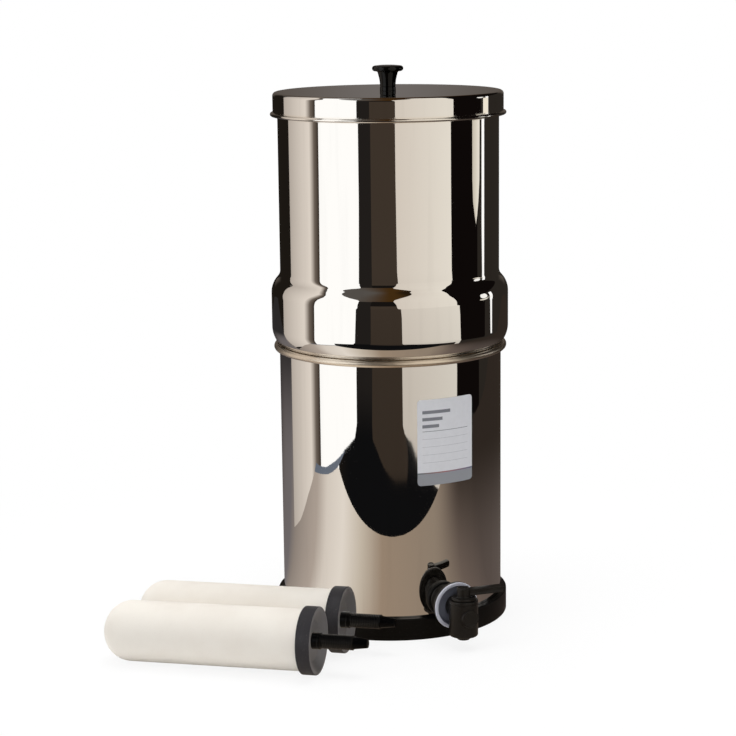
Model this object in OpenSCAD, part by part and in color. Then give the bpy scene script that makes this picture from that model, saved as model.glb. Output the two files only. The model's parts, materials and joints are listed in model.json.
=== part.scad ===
// Two-chamber gravity water filter with a lever tap.
//
// The upper chamber holds raw water and stands in the rim of the lower chamber. Ceramic candles
// bolted through its floor let the water seep down, and the tap draws it from the lower chamber.
// Two spare candles lie on the table beside the filter.
//
// Origin: centre of the base ring's underside, on the chambers' axis. +Z up, front is -Y.

/* [Sheet steel] */
// Thickness of the sheet that the lid and both chambers are pressed from
sheet = 0.8; // [0.5:0.1:1.4]

/* [Lower chamber] */
// Outer radius of the lower chamber's wall
lower_r = 98.9; // [92:0.1:115]
// Height of the lower rim's rolled bead above the table, to its centre
lower_rim_z = 244.7; // [225:0.1:300]
// Radius of the lower rim's rolled bead
lower_bead_r = 2.9; // [2:0.1:4]
// Outer radius of the corner between wall and floor
lower_corner_r = 5; // [3:0.5:7]
// Width of the floor's flat rim, which stands on the base ring's foot
floor_rim_w = 16; // [12:0.5:24]
// Height that the middle of the floor is raised above its rim
floor_rise = 3; // [2:0.5:6]
// Width of the slope up to the raised floor
floor_slope_w = 6; // [4:0.5:12]

/* [Base ring] */
// Thickness of the ring's wall around the chamber
ring_wall = 5; // [3:0.1:8]
// Height of the ring
ring_h = 19.4; // [14:0.1:26]
// Thickness of the foot under the chamber
ring_foot_h = 3; // [2:0.5:5]
// Width of the foot, inwards from the chamber's wall
ring_foot_w = 13; // [8:0.5:18]
// Rounding of the ring's outer edges
ring_edge_r = 0.9; // [0.5:0.1:2]

/* [Upper chamber] */
// Height of the upper chamber, from its floor's underside to its rim
upper_h = 246.8; // [225:0.1:300]
// Depth of the spigot, from the lower rim's centre down to the floor's underside
spigot_h = 22.7; // [17:0.1:35]
// Distance that the bulge stands out past the centre of the lower rim's bead
bulge_overhang = 4.4; // [3:0.1:8]
// Height of the bulge's straight band
bulge_h = 30; // [20:0.5:45]
// Radius of the curve under the bulge, which sits on the lower rim
seat_curve_r = 23; // [18:0.5:28]
// Step in radius from the bulge in to the straight wall
shoulder_step = 8; // [5:0.1:12]
// Height of the shoulder between the bulge and the wall
shoulder_h = 20; // [16:0.5:28]
// Radius of the hollow curve at the top of the shoulder
shoulder_hollow_r = 10; // [5:0.5:12]
// Radius of the upper rim's rolled bead
upper_bead_r = 1.2; // [1:0.1:2]
// Outer radius of the corner between spigot and floor
upper_corner_r = 5; // [3:0.5:8]

/* [Lid] */
// Height of the lid, from its top face to the underside of its bead
lid_h = 20.7; // [14:0.1:32]
// Rounding of the lid's top edge
lid_edge_r = 3; // [2:0.1:5]
// Radius of the rolled bead at the lid's lower edge
lid_bead_r = 1.6; // [1.2:0.1:2.4]

/* [Lid knob] */
// Height of the knob above the lid
knob_h = 22.4; // [18:0.1:32]
// Distance that the knob's head stands out past its neck
knob_overhang = 6.9; // [5:0.1:12]
// Thickness of the knob's head
knob_head_h = 5.4; // [4:0.1:8]
// Radius of the knob's neck at the lid
knob_neck_r = 6.8; // [5.5:0.1:10]
// Radius that the neck gains on its way up to the head
knob_neck_flare = 1.8; // [0.2:0.1:2]
// Radius of the hollow curve between neck and head
knob_fillet_r = 2.2; // [1:0.1:3]
// Radius of the screw's shank
knob_screw_r = 2.45; // [2:0.05:3.5]
// Length of the screw's shank inside the knob
knob_screw_l = 11; // [8:0.5:13]
// Distance that the screw's head stands out past its shank
knob_screw_head_w = 2.15; // [1.5:0.05:3]
// Height of the screw's head
knob_screw_head_h = 2.8; // [2:0.1:4]
// Width of the washer, past the screw's shank
knob_washer_w = 5.5; // [3:0.1:9]
// Thickness of the washer under the screw's head
knob_washer_h = 1; // [0.6:0.1:2]

/* [Candle] */
// Length of a candle, from its cap's face to the tip of its dome
candle_l = 188; // [150:1:205]
// Radius of the ceramic shell
candle_r = 25.75; // [22:0.05:28]
// Radius of the flat at the tip of the dome
candle_tip_r = 2; // [1:0.5:6]
// Wall thickness of the ceramic shell
ceramic_wall = 7; // [5:0.5:9]
// Gap between the ceramic shell and the carbon fill
carbon_gap = 0.3; // [0.2:0.1:1]
// Space left between the carbon fill and the top of the shell's hollow
carbon_headroom = 4; // [2:0.5:10]

/* [Candle cap] */
// Wall of the cap around the ceramic
cap_wall = 2.65; // [1.5:0.05:4]
// Depth of the cap's socket around the ceramic
socket_depth = 4.8; // [3:0.1:10]
// Thickness of the web between the dish and the ceramic
cap_web = 2.5; // [1.5:0.1:5]
// Depth of the dish in the cap's face
dish_depth = 5; // [3:0.1:7]
// Width of the flat rim around the dish
dish_rim_w = 2.5; // [1.5:0.1:5]
// Rounding of the cap's outer edges
cap_edge_r = 1; // [0.5:0.1:1.5]
// Radius of the stem's threaded length
stem_r = 6.2; // [5.5:0.05:7]
// Step in radius from the thread out to the plain collar at the stem's root
collar_step = 0.8; // [0.6:0.1:1.5]
// Distance that the collar stands out past the cap's face
collar_proud = 2.3; // [1.5:0.1:4]
// Length of the stem's thread
stem_l = 27.7; // [22:0.1:40]
// Step in radius from the thread in to the outlet nose
nose_step = 0.9; // [0.5:0.1:1.5]
// Radius of the outlet nose at its end
nose_end_r = 3.7; // [3.2:0.1:4.4]
// Length of the outlet nose
nose_l = 12.5; // [8:0.5:20]
// Radius of the drain hole along the stem
drain_r = 2.2; // [1.5:0.1:2.8]

/* [Candle fixing] */
// Radius of the circle of floor holes
hole_circle_r = 52; // [46:0.5:56]
// Direction of the first floor hole from +X, in degrees
hole_turn = 45; // [0:5:85]
// Outer radius of a candle's rubber washer
candle_washer_r = 16; // [12:0.5:18]
// Wall of a wing nut's hub around the stem
wing_hub_wall = 3.3; // [2.5:0.1:6]
// Height of a wing nut's hub
wing_hub_h = 9; // [7:0.5:12]
// Reach of a wing past the nut's hub
wing_l = 9.5; // [7:0.5:14]
// Thickness of a wing
wing_t = 3.6; // [2.5:0.1:5]
// Radius of a wing's rounded end
wing_end_r = 5.5; // [4:0.5:6.5]

/* [Blanking plugs] */
// Width of a plug's flange past its shank
plug_flange_w = 7.8; // [5:0.1:12]
// Thickness of a plug's flange
plug_flange_h = 4; // [3:0.5:6]
// Radius of the round grip on a plug's flange
plug_grip_r = 7; // [5:0.5:10]
// Height of the round grip on a plug's flange
plug_grip_h = 5; // [3:0.5:8]
// Distance that a plug's rubber washer lies inside the flange's edge
plug_washer_inset = 1.5; // [0.5:0.5:3]
// Thickness of a plug's rubber washer
plug_washer_h = 2; // [1:0.5:3]
// Wall of a plug's nut around the shank, at its flats
plug_nut_wall = 3.7; // [3:0.1:6]
// Height of a plug's nut
plug_nut_h = 7; // [5:0.5:10]
// Length of the shank that shows below a plug's nut
plug_shank_end = 4; // [1:0.5:8]

/* [Tap body] */
// Direction of the tap, in degrees from the front towards +X
tap_turn = 26; // [20:1:60]
// Gap between the base ring's top and the tap's washer
tap_over_ring = 0.1; // [0.1:0.1:8]
// Radius of the waterway through the shank
waterway_r = 4.2; // [3.5:0.1:4.5]
// Radius of the shank's fine thread, through the wall
shank_inner_r = 10; // [8.5:0.1:11]
// Reach of the shank into the lower chamber, from the inside of the wall
shank_inner_l = 16; // [14:0.5:24]
// Step in radius from the fine thread out to the coarse thread, outside the chamber
shank_step = 3; // [2:0.1:4]
// Length of the coarse thread that shows between the wall's washer and the cup washer
shank_show = 19; // [10:0.5:30]
// Distance that the shoulder in front of the cup washer stands out past the coarse thread
tap_shoulder_w = 1.5; // [1.2:0.1:4]
// Thickness of the shoulder in front of the cup washer's floor
tap_shoulder_h = 1.8; // [1:0.1:2.1]
// Radius of the neck between shoulder and barrel
neck_r = 9.5; // [7:0.1:10]
// Radius of the barrel's bore
barrel_bore_r = 9; // [8.5:0.1:11]
// Wall of the barrel around its bore
barrel_wall = 3.5; // [3:0.1:5]
// Height of the barrel's open rim above the tap's axis
barrel_top = 9.3; // [9:0.1:13]
// Depth of the barrel's underside below the tap's axis
barrel_drop = 22.6; // [21:0.1:26]
// Thickness of the barrel's floor
barrel_floor = 4; // [3:0.5:5]
// Step in radius from the bore out to the recess inside the barrel's rim
barrel_recess_w = 2.2; // [2:0.1:2.6]
// Depth of the recess inside the barrel's rim
barrel_recess_h = 2.2; // [2.1:0.1:2.6]
// Rounding of the barrel's lower edge
barrel_edge_r = 1.5; // [0.5:0.1:2.5]
// Radius of the outlet's bore
outlet_r = 4; // [3:0.1:4.8]
// Wall of the outlet nozzle
nozzle_wall = 1.5; // [1:0.1:2.5]
// Length of the outlet nozzle below the barrel
nozzle_l = 3.5; // [3:0.1:8]
// Radius of the round pad on the barrel's front
pad_r = 7.8; // [5:0.1:9]
// Distance that the pad stands proud of the barrel
pad_proud = 1; // [0.5:0.1:2]
// Depth of the pad's centre below the tap's axis
pad_drop = 5; // [1:0.5:8]

/* [Tap seals and nuts] */
// Thickness of the white cup washer at its lip
cup_h = 5; // [4:0.1:9]
// Width of the cup washer's lip
cup_lip = 2.6; // [2:0.1:5]
// Depth of the cup washer's recess
cup_recess = 2.4; // [2.2:0.1:3.5]
// Distance that the cup washer's lip stays clear of the tap's shoulder
cup_clear = 3.4; // [0.5:0.1:4.5]
// Distance that the rubber washers at the wall stand out past the coarse thread
wall_washer_w = 2; // [1:0.1:4]
// Thickness of the outer rubber washer at the wall's crest
outer_washer_h = 3; // [2:0.1:5]
// Thickness of the inner rubber washer at its rim
inner_washer_h = 1.5; // [1:0.1:3]
// Wall of the back nut around the shank, at its flats
back_nut_wall = 3.9; // [3:0.1:5]
// Height of the back nut
back_nut_h = 7; // [5:0.5:9]

/* [Tap valve] */
// Radius of the hollow inside the plug
plug_hollow_r = 5; // [4.6:0.1:5.5]
// Thickness of the plug's flange
valve_flange_h = 0.9; // [0.7:0.1:1]
// Side of the plug's square drive
drive_side = 5; // [4:0.1:6]
// Height of the square drive above the flange
drive_h = 8; // [5:0.5:9]
// Radius of an O-ring's section
oring_r = 0.9; // [0.7:0.05:1]
// Height of the lowest O-ring above the plug's lower end
oring_low = 3; // [2:0.5:6]
// Width of the retaining ring that holds the plug down
retainer_w = 4; // [3:0.1:4.5]
// Thickness of the retaining ring
retainer_h = 0.9; // [0.6:0.1:1]
// Angle between the closed lever and the tap's axis, in degrees
lever_closed = 84; // [60:1:90]
// Distance that the lever's skirt lies inside the barrel's outer edge
skirt_inset = 1.7; // [0:0.1:3]
// Height of the lever's skirt
skirt_h = 2.4; // [1.5:0.1:4]
// Radius of the lever's hub
hub_r = 5.8; // [5:0.1:8]
// Height of the lever's hub above its skirt
hub_h = 7.9; // [7.5:0.1:14]
// Length of the lever from the hub's axis
lever_l = 36.5; // [28:0.5:50]
// Width of the lever
lever_w = 7.4; // [5:0.1:10]
// Thickness of the lever
lever_t = 5.5; // [4:0.1:6.5]
// Height of the lever's underside above its skirt
lever_lift = 1; // [0.5:0.1:1.9]
// Rounding of the lever's corners in plan
lever_corner_r = 1.4; // [0.5:0.1:2.4]

/* [Label] */
// Width of the label round the wall
label_w = 55; // [30:0.5:80]
// Height of the label
label_h = 75.5; // [40:0.5:80]
// Distance of the label's top edge below the lower rim's centre
label_drop = 32.5; // [20:0.5:60]
// Direction of the label's centre, in degrees from the front towards +X
label_turn = 29.1; // [0:0.1:60]
// Thickness of the label
label_t = 0.35; // [0.2:0.05:0.6]
// Corner radius of the label
label_corner_r = 3; // [1:0.5:8]

/* [Loose candles] */
// Direction in which the loose candles' stems point, in degrees from +X towards the front
loose_turn = 15.2; // [8:0.1:20]
// Angle by which the domes of the two loose candles spread
loose_spread = 0.6; // [0:0.1:3]
// Gap between the base ring and the rear candle's cap, seen from above
rear_gap = 5.4; // [3:0.1:20]
// Distance of the rear candle's cap face from the point nearest to the chambers' axis
rear_slip = 2.7; // [0:0.1:20]
// Gap between the two loose candles' caps
loose_gap = 3.1; // [1:0.1:20]
// Distance that the front candle lies behind the rear one, along their length
front_slip = 7.3; // [0:0.1:20]

/* [Clearances] */
// Gap between the base ring and the chamber
ring_gap = 0.1; // [0.05:0.05:0.3]
// Gap between the spigot and the inside of the lower rim
spigot_gap = 0.8; // [0.4:0.1:2]
// Gap between a lifted-off piece and the seat that it rests on
seat_gap = 0.2; // [0.1:0.05:0.3]
// Gap between the upper rim's bead and the inside of the lid
lid_gap = 1.6; // [0.8:0.1:3]
// Gap between a candle's stem and its floor hole
stem_gap = 0.4; // [0.2:0.05:0.5]
// Gap between the candle's washer and the slope of its dish
dish_gap = 1.5; // [0.5:0.1:3]
// Gap between the tap's hole in the wall and the shank in it
hole_gap = 0.3; // [0.2:0.05:0.5]
// Gap round a shank or stem that a washer or nut sits on
hold_gap = 0.1; // [0.05:0.05:0.2]
// Gap round a piece that is pressed or screwed home
snug_gap = 0.05; // [0.03:0.01:0.08]
// Gap between a turning face and the face beside it
face_gap = 0.1; // [0.05:0.05:0.15]
// Running clearance of the plug in the barrel, on the radius
plug_play = 0.05; // [0.03:0.01:0.09]
// Running clearance of a wing nut on its stem, on the radius
nut_play = 0.05; // [0.02:0.01:0.09]
// Gap between the label and the wall
label_gap = 0.02; // [0.01:0.01:0.05]

/* [Hidden] */
$fn = 96;

// Steps of one rounded stretch in an outline
arc_steps = 10;
// Facets of the wall's curve where a thin washer is cut to lie on it
wall_facets = 360;
// Extra length of a cutting tool past the face that it cuts
cut = 1;

// Lower chamber and base ring
lower_in_r = lower_r - sheet;
lower_floor_z = ring_foot_h;
lower_bead_cr = lower_in_r + lower_bead_r;
floor_slope_r = lower_r - lower_corner_r - floor_rim_w;
floor_rise_r = floor_slope_r - floor_slope_w;
ring_in_r = lower_r + ring_gap;
ring_r = ring_in_r + ring_wall;
foot_in_r = lower_r - ring_foot_w;

// Upper chamber
spigot_r = lower_in_r - spigot_gap;
upper_z = lower_rim_z - spigot_h;
upper_top_z = upper_z + upper_h;
upper_floor_z = upper_z + sheet;
bulge_r = lower_bead_cr + bulge_overhang;
upper_r = bulge_r - shoulder_step;
seat_cr = bulge_r - seat_curve_r;
seat_reach = seat_curve_r + lower_bead_r + seat_gap;
seat_cz = lower_rim_z + sqrt(pow(seat_reach, 2) - pow(lower_bead_cr - seat_cr, 2));
bulge_top_z = seat_cz + bulge_h;
shoulder_top_z = bulge_top_z + shoulder_h;
shoulder_angle = 2 * atan(shoulder_step / shoulder_h);
shoulder_round_r = shoulder_h / sin(shoulder_angle) - shoulder_hollow_r;
upper_in_r = upper_r - sheet;
upper_bead_cr = upper_in_r + upper_bead_r;
upper_bead_z = upper_top_z - upper_bead_r;

// Lid
lid_in_r = upper_bead_cr + upper_bead_r + lid_gap;
lid_r = lid_in_r + sheet;
lid_under_z = upper_top_z + seat_gap;
lid_top_z = lid_under_z + sheet;
lid_bead_cr = lid_in_r + lid_bead_r;
lid_bead_z = lid_top_z - lid_h + lid_bead_r;
knob_top_z = lid_top_z + knob_h;
knob_head_r = knob_neck_r + knob_overhang;
knob_rim_r = knob_head_h / 2;

// Candle
dome_r = candle_r - candle_tip_r;
cavity_r = candle_r - ceramic_wall;
cavity_z = candle_l - ceramic_wall - cavity_r;
carbon_r = cavity_r - carbon_gap;
carbon_top_z = candle_l - ceramic_wall - carbon_headroom;
ceramic_z = dish_depth + cap_web;
cap_h = ceramic_z + socket_depth;
cap_in_r = candle_r + hold_gap;
cap_r = cap_in_r + cap_wall;
dish_rim_r = cap_r - dish_rim_w;
dish_floor_r = candle_washer_r + dish_gap;
collar_r = stem_r + collar_step;
thread_end = -collar_proud - stem_l;
nose_end = thread_end - nose_l;

// Candle fixing: floor holes are numbered anticlockwise from the first one
fitted_holes = [1, 3];
spare_holes = [0, 2];
floor_hole_r = stem_r + stem_gap;
candle_z = upper_floor_z + collar_proud;
wing_hub_r = stem_r + wing_hub_wall;
wing_end_x = wing_hub_r + wing_l - wing_end_r;
wing_root_x = (wing_hub_r + stem_r) / 2;
under_floor_z = upper_z - face_gap;
plug_flange_r = stem_r + plug_flange_w;
plug_flange_z = upper_floor_z + plug_washer_h;
plug_shank_z = under_floor_z - plug_nut_h - plug_shank_end;

// Tap, along its own axis: x runs outwards from the chambers' axis
shank_r = shank_inner_r + shank_step;
shoulder_r = shank_r + tap_shoulder_w;
cup_recess_r = shoulder_r + cup_clear;
cup_r = cup_recess_r + cup_lip;
wall_washer_r = shank_r + wall_washer_w;
tap_z = ring_h + tap_over_ring + wall_washer_r;
outer_washer_x = lower_r + outer_washer_h;
cup_back_x = outer_washer_x + shank_show;
cup_front_x = cup_back_x + cup_h;
cup_floor_x = cup_front_x - cup_recess;
barrel_r = barrel_bore_r + barrel_wall;
barrel_x = cup_front_x + face_gap + barrel_r;
inner_washer_x = sqrt(pow(lower_in_r, 2) - pow(wall_washer_r, 2)) - inner_washer_h;
shank_end_x = lower_in_r - shank_inner_l;
wall_hole_r = shank_inner_r + hole_gap;

// Tap barrel and valve, from the outlet up
barrel_low_z = tap_z - barrel_drop;
barrel_top_z = tap_z + barrel_top;
barrel_floor_z = barrel_low_z + barrel_floor;
barrel_recess_r = barrel_bore_r + barrel_recess_w;
barrel_recess_z = barrel_top_z - barrel_recess_h;
nozzle_z = barrel_low_z - nozzle_l;
nozzle_r = outlet_r + nozzle_wall;
valve_r = barrel_bore_r - plug_play;
valve_low_z = barrel_floor_z + face_gap;
valve_flange_r = barrel_recess_r - hole_gap;
valve_flange_z = barrel_recess_z + face_gap;
valve_top_z = valve_flange_z + valve_flange_h;
groove_h = 2 * (oring_r + snug_gap);
oring_zs = [
    valve_low_z + oring_low,
    tap_z - waterway_r - groove_h,
    tap_z + waterway_r + groove_h / 2 + snug_gap
];
retainer_z = valve_top_z + face_gap;
retainer_in_r = barrel_recess_r - retainer_w;
lever_boss_r = retainer_in_r - 2 * face_gap;
skirt_z = barrel_top_z + face_gap;
skirt_r = barrel_r - skirt_inset;
hub_z = skirt_z + skirt_h;
hub_top_z = hub_z + hub_h;

// Label
label_r = lower_r + label_gap;
label_z = lower_rim_z - label_drop - label_h / 2;
label_chord = 2 * lower_r * sin(label_w / lower_r * 90 / PI);

// Loose candles: each rests on its cap's edge and on the ceramic just before its dome
loose_tilt = atan((cap_r - candle_r) / (candle_l - dome_r - cap_h + cap_edge_r));
loose_z = cap_r * cos(loose_tilt) + (cap_h - cap_edge_r) * sin(loose_tilt);
rear_out = ring_r + rear_gap + cap_r;
front_out = rear_out + 2 * cap_r + loose_gap;

// Points of a circular arc round [x, y], from one angle to another
function arc(x, y, r, from, to) =
    [for (i = [0:arc_steps])
        let (a = from + (to - from) * i / arc_steps)
        [x + r * cos(a), y + r * sin(a)]];

// A list of points in the opposite order
function reversed(points) = [for (i = [len(points) - 1:-1:0]) points[i]];

// A round washer or sleeve
module tube(r_out, r_in, h) difference() {
    cylinder(r = r_out, h = h);
    translate([0, 0, -cut]) cylinder(r = r_in, h = h + 2 * cut);
}

// A six-sided nut with two flats facing +X and -X
module hex_nut(wall, hole_r, h) difference() {
    rotate([0, 0, 30]) cylinder(r = (hole_r + wall) / cos(30), h = h, $fn = 6);
    translate([0, 0, -cut]) cylinder(r = hole_r, h = h + 2 * cut);
}

// ---- Lower chamber ----

module base_ring() color("#141212") rotate_extrude() polygon(concat(
    [[foot_in_r, 0]],
    arc(ring_r - ring_edge_r, ring_edge_r, ring_edge_r, -90, 0),
    arc(ring_r - ring_edge_r, ring_h - ring_edge_r, ring_edge_r, 0, 90),
    [[ring_in_r, ring_h], [ring_in_r, ring_foot_h], [foot_in_r, ring_foot_h]]
));

// Half-section of the floor and its corner, drawn t inside the outer face
function lower_floor(t) = concat(
    [[0, lower_floor_z + floor_rise + t], [floor_rise_r, lower_floor_z + floor_rise + t]],
    [[floor_slope_r, lower_floor_z + t]],
    arc(lower_r - lower_corner_r, lower_floor_z + lower_corner_r, lower_corner_r - t, -90, 0)
);

module lower_chamber() color("#c9c6c2") difference() {
    bead_join = acos((lower_r - lower_bead_cr) / lower_bead_r);
    rotate_extrude() polygon(concat(
        lower_floor(0),
        arc(lower_bead_cr, lower_rim_z, lower_bead_r, -bead_join, 180),
        reversed(lower_floor(sheet))
    ));
    at_tap() along(lower_in_r - lower_corner_r, lower_r + cut, wall_hole_r);
}

// The label is a sheet of the wall's curve, trimmed to a rounded rectangle
module label() color("#cdced4") rotate([0, 0, label_turn - 90]) intersection() {
    translate([0, 0, label_z - label_h]) tube(label_r + label_t, label_r, 2 * label_h);
    translate([lower_r / 2, 0, label_z]) rotate([0, 90, 0]) {
        corner_x = label_h / 2 - label_corner_r;
        corner_y = label_chord / 2 - label_corner_r;
        for (x = [-corner_x, corner_x], y = [-corner_y, corner_y])
            translate([x, y, 0]) cylinder(r = label_corner_r, h = lower_r);
        translate([-corner_x, -label_chord / 2, 0]) cube([2 * corner_x, label_chord, lower_r]);
        translate([-label_h / 2, -corner_y, 0]) cube([label_h, 2 * corner_y, lower_r]);
    }
}

// ---- Tap ----

// Turns the children to the tap's direction
module at_tap() rotate([0, 0, tap_turn - 90]) children();

// Turns the children to the closed lever's direction, about the barrel's axis
module at_valve() at_tap() translate([barrel_x, 0, 0]) rotate([0, 0, lever_closed]) children();

// A cylinder along the tap's axis between two distances from the chambers' axis
module along(x1, x2, r) translate([x1, 0, tap_z]) rotate([0, 90, 0]) cylinder(r = r, h = x2 - x1);

module tap_body() color("#26221f") at_tap() difference() {
    union() {
        along(shank_end_x, outer_washer_x + cut, shank_inner_r);
        along(outer_washer_x, cup_floor_x, shank_r);
        along(cup_floor_x, cup_floor_x + tap_shoulder_h, shoulder_r);
        along(cup_floor_x, barrel_x, neck_r);
        translate([barrel_x, 0, 0]) {
            rotate_extrude() polygon(concat(
                [[0, barrel_low_z]],
                arc(barrel_r - barrel_edge_r, barrel_low_z + barrel_edge_r, barrel_edge_r, -90, 0),
                [[barrel_r, barrel_top_z], [0, barrel_top_z]]
            ));
            translate([0, 0, nozzle_z]) cylinder(r = nozzle_r, h = nozzle_l + cut);
        }
        translate([0, 0, -pad_drop]) along(barrel_x + barrel_bore_r, barrel_x + barrel_r + pad_proud, pad_r);
    }
    along(shank_end_x - cut, barrel_x, waterway_r);
    translate([barrel_x, 0, 0]) {
        translate([0, 0, barrel_floor_z]) cylinder(r = barrel_bore_r, h = barrel_top_z);
        translate([0, 0, barrel_recess_z]) cylinder(r = barrel_recess_r, h = barrel_top_z);
        translate([0, 0, nozzle_z - cut]) cylinder(r = outlet_r, h = barrel_floor_z - nozzle_z + 2 * cut);
    }
}

module tap_cup_washer() color("#d9dae0") at_tap() difference() {
    along(cup_back_x, cup_front_x, cup_r);
    along(cup_back_x - cut, cup_front_x, shank_r + hold_gap);
    along(cup_floor_x, cup_front_x + cut, cup_recess_r);
}

// The outer washer's back and the inner washer's front are hollowed and domed to lie on the wall
module tap_outer_washer() color("#191817") at_tap() difference() {
    along(lower_in_r - wall_washer_r / 2, outer_washer_x, wall_washer_r);
    along(0, outer_washer_x + cut, shank_inner_r + hold_gap);
    cylinder(r = lower_r + snug_gap, h = 2 * tap_z, $fn = wall_facets);
}

module tap_inner_washer() color("#191817") at_tap() difference() {
    intersection() {
        along(inner_washer_x, lower_r, wall_washer_r);
        cylinder(r = lower_in_r - snug_gap, h = 2 * tap_z, $fn = wall_facets);
    }
    along(inner_washer_x - cut, lower_r, shank_inner_r + hold_gap);
}

module tap_back_nut() color("#26221f") at_tap()
    translate([inner_washer_x, 0, tap_z]) rotate([0, -90, 0])
        hex_nut(back_nut_wall, shank_inner_r + hold_gap, back_nut_h);

module tap_plug() color("#3a3632") at_valve() difference() {
    union() {
        translate([0, 0, valve_low_z]) cylinder(r = valve_r, h = valve_top_z - valve_low_z);
        translate([0, 0, valve_flange_z]) cylinder(r = valve_flange_r, h = valve_flange_h);
        translate([-drive_side / 2, -drive_side / 2, valve_flange_z])
            cube([drive_side, drive_side, valve_flange_h + drive_h]);
    }
    translate([0, 0, valve_low_z - cut])
        cylinder(r = plug_hollow_r, h = tap_z + waterway_r - valve_low_z + cut);
    translate([0, 0, tap_z]) rotate([0, -90, 0]) cylinder(r = waterway_r, h = 2 * valve_r);
    for (z = oring_zs) translate([0, 0, z - groove_h / 2])
        tube(barrel_r, barrel_bore_r - 2 * oring_r, groove_h);
}

module tap_plug_orings() color("#111111") at_valve()
    for (z = oring_zs) translate([0, 0, z]) rotate_extrude()
        translate([barrel_bore_r - oring_r - snug_gap / 2, 0]) circle(r = oring_r - snug_gap / 2, $fn = 32);

module tap_retaining_ring() color("#3a3632") at_tap()
    translate([barrel_x, 0, retainer_z]) tube(barrel_recess_r - snug_gap, retainer_in_r, retainer_h);

module tap_lever() color("#26221f") at_valve() difference() {
    union() {
        translate([0, 0, valve_top_z]) cylinder(r = lever_boss_r, h = skirt_z - valve_top_z + cut);
        translate([0, 0, skirt_z]) cylinder(r = skirt_r, h = skirt_h);
        translate([0, 0, skirt_z]) cylinder(r = hub_r, h = hub_top_z - skirt_z);
        translate([0, 0, hub_z + lever_lift]) lever_bar();
    }
    translate([-drive_side / 2 - snug_gap, -drive_side / 2 - snug_gap, valve_top_z - cut])
        cube([drive_side + 2 * snug_gap, drive_side + 2 * snug_gap, drive_h + cut]);
}

// The lever's flat bar, with its end rounded in plan
module lever_bar() {
    corner_x = lever_l - lever_corner_r;
    corner_y = lever_w / 2 - lever_corner_r;
    translate([0, -lever_w / 2, 0]) cube([corner_x, lever_w, lever_t]);
    translate([0, -corner_y, 0]) cube([lever_l, 2 * corner_y, lever_t]);
    for (y = [-corner_y, corner_y]) translate([corner_x, y, 0]) cylinder(r = lever_corner_r, h = lever_t);
}

// ---- Upper chamber ----

// Half-section of the wall from the spigot's corner to the shoulder's top, drawn t inside the outer face
function upper_wall(t) = concat(
    arc(spigot_r - upper_corner_r, upper_z + upper_corner_r, upper_corner_r - t, -90, 0),
    arc(seat_cr, seat_cz, seat_curve_r - t, -acos((spigot_r - t - seat_cr) / (seat_curve_r - t)), 0),
    arc(bulge_r - shoulder_round_r, bulge_top_z, shoulder_round_r - t, 0, shoulder_angle),
    arc(upper_r + shoulder_hollow_r, shoulder_top_z, shoulder_hollow_r + t, 180 + shoulder_angle, 180)
);

module upper_chamber() color("#c9c6c2") difference() {
    bead_join = acos((upper_r - upper_bead_cr) / upper_bead_r);
    rotate_extrude() polygon(concat(
        [[0, upper_z]],
        upper_wall(0),
        arc(upper_bead_cr, upper_bead_z, upper_bead_r, -bead_join, 180),
        reversed(upper_wall(sheet)),
        [[0, upper_floor_z]]
    ));
    for (i = [0:3]) at_hole(i)
        translate([0, 0, upper_z - cut]) cylinder(r = floor_hole_r, h = sheet + 2 * cut);
}

// Stands the children on floor hole number i
module at_hole(i) rotate([0, 0, hole_turn + 90 * i]) translate([hole_circle_r, 0, 0]) children();

module blanking_plugs() color("#201f20") for (i = spare_holes) at_hole(i) {
    translate([0, 0, plug_shank_z]) cylinder(r = stem_r, h = plug_flange_z - plug_shank_z + cut);
    translate([0, 0, plug_flange_z]) cylinder(r = plug_flange_r, h = plug_flange_h);
    translate([0, 0, plug_flange_z]) cylinder(r = plug_grip_r, h = plug_flange_h + plug_grip_h);
}

module blanking_washers() color("#191817") for (i = spare_holes) at_hole(i) translate([0, 0, upper_floor_z])
    tube(plug_flange_r - plug_washer_inset, stem_r + hold_gap, plug_washer_h);

module blanking_nuts() color("#201f20") for (i = spare_holes) at_hole(i)
    translate([0, 0, under_floor_z - plug_nut_h]) hex_nut(plug_nut_wall, stem_r + hold_gap, plug_nut_h);

// ---- Lid ----

// Half-section of the lid's top and edge, drawn t inside the outer face
function lid_wall(t) = concat(
    [[0, lid_top_z - t]],
    arc(lid_r - lid_edge_r, lid_top_z - lid_edge_r, lid_edge_r - t, 90, 0)
);

module lid_shell() color("#c9c6c2") difference() {
    bead_join = acos((lid_r - lid_bead_cr) / lid_bead_r);
    rotate_extrude() polygon(concat(
        lid_wall(0),
        arc(lid_bead_cr, lid_bead_z, lid_bead_r, bead_join, -180),
        reversed(lid_wall(sheet))
    ));
    translate([0, 0, lid_under_z - cut]) cylinder(r = knob_screw_r + hole_gap, h = sheet + 2 * cut);
}

module lid_knob() color("#161415") difference() {
    neck_top_r = knob_neck_r + knob_neck_flare;
    head_z = knob_top_z - knob_head_h;
    rotate_extrude() polygon(concat(
        [[0, lid_top_z], [knob_neck_r, lid_top_z]],
        arc(neck_top_r + knob_fillet_r, head_z - knob_fillet_r, knob_fillet_r, 180, 90),
        arc(knob_head_r - knob_rim_r, head_z + knob_rim_r, knob_rim_r, -90, 90),
        [[0, knob_top_z]]
    ));
    translate([0, 0, lid_top_z - cut]) cylinder(r = knob_screw_r + snug_gap, h = knob_screw_l + 2 * cut);
}

module lid_screw() color("#b9b7b4") {
    head_z = lid_under_z - knob_washer_h - knob_screw_head_h;
    translate([0, 0, head_z]) cylinder(r = knob_screw_r + knob_screw_head_w, h = knob_screw_head_h);
    translate([0, 0, head_z]) cylinder(r = knob_screw_r, h = lid_top_z + knob_screw_l - head_z);
}

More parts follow.
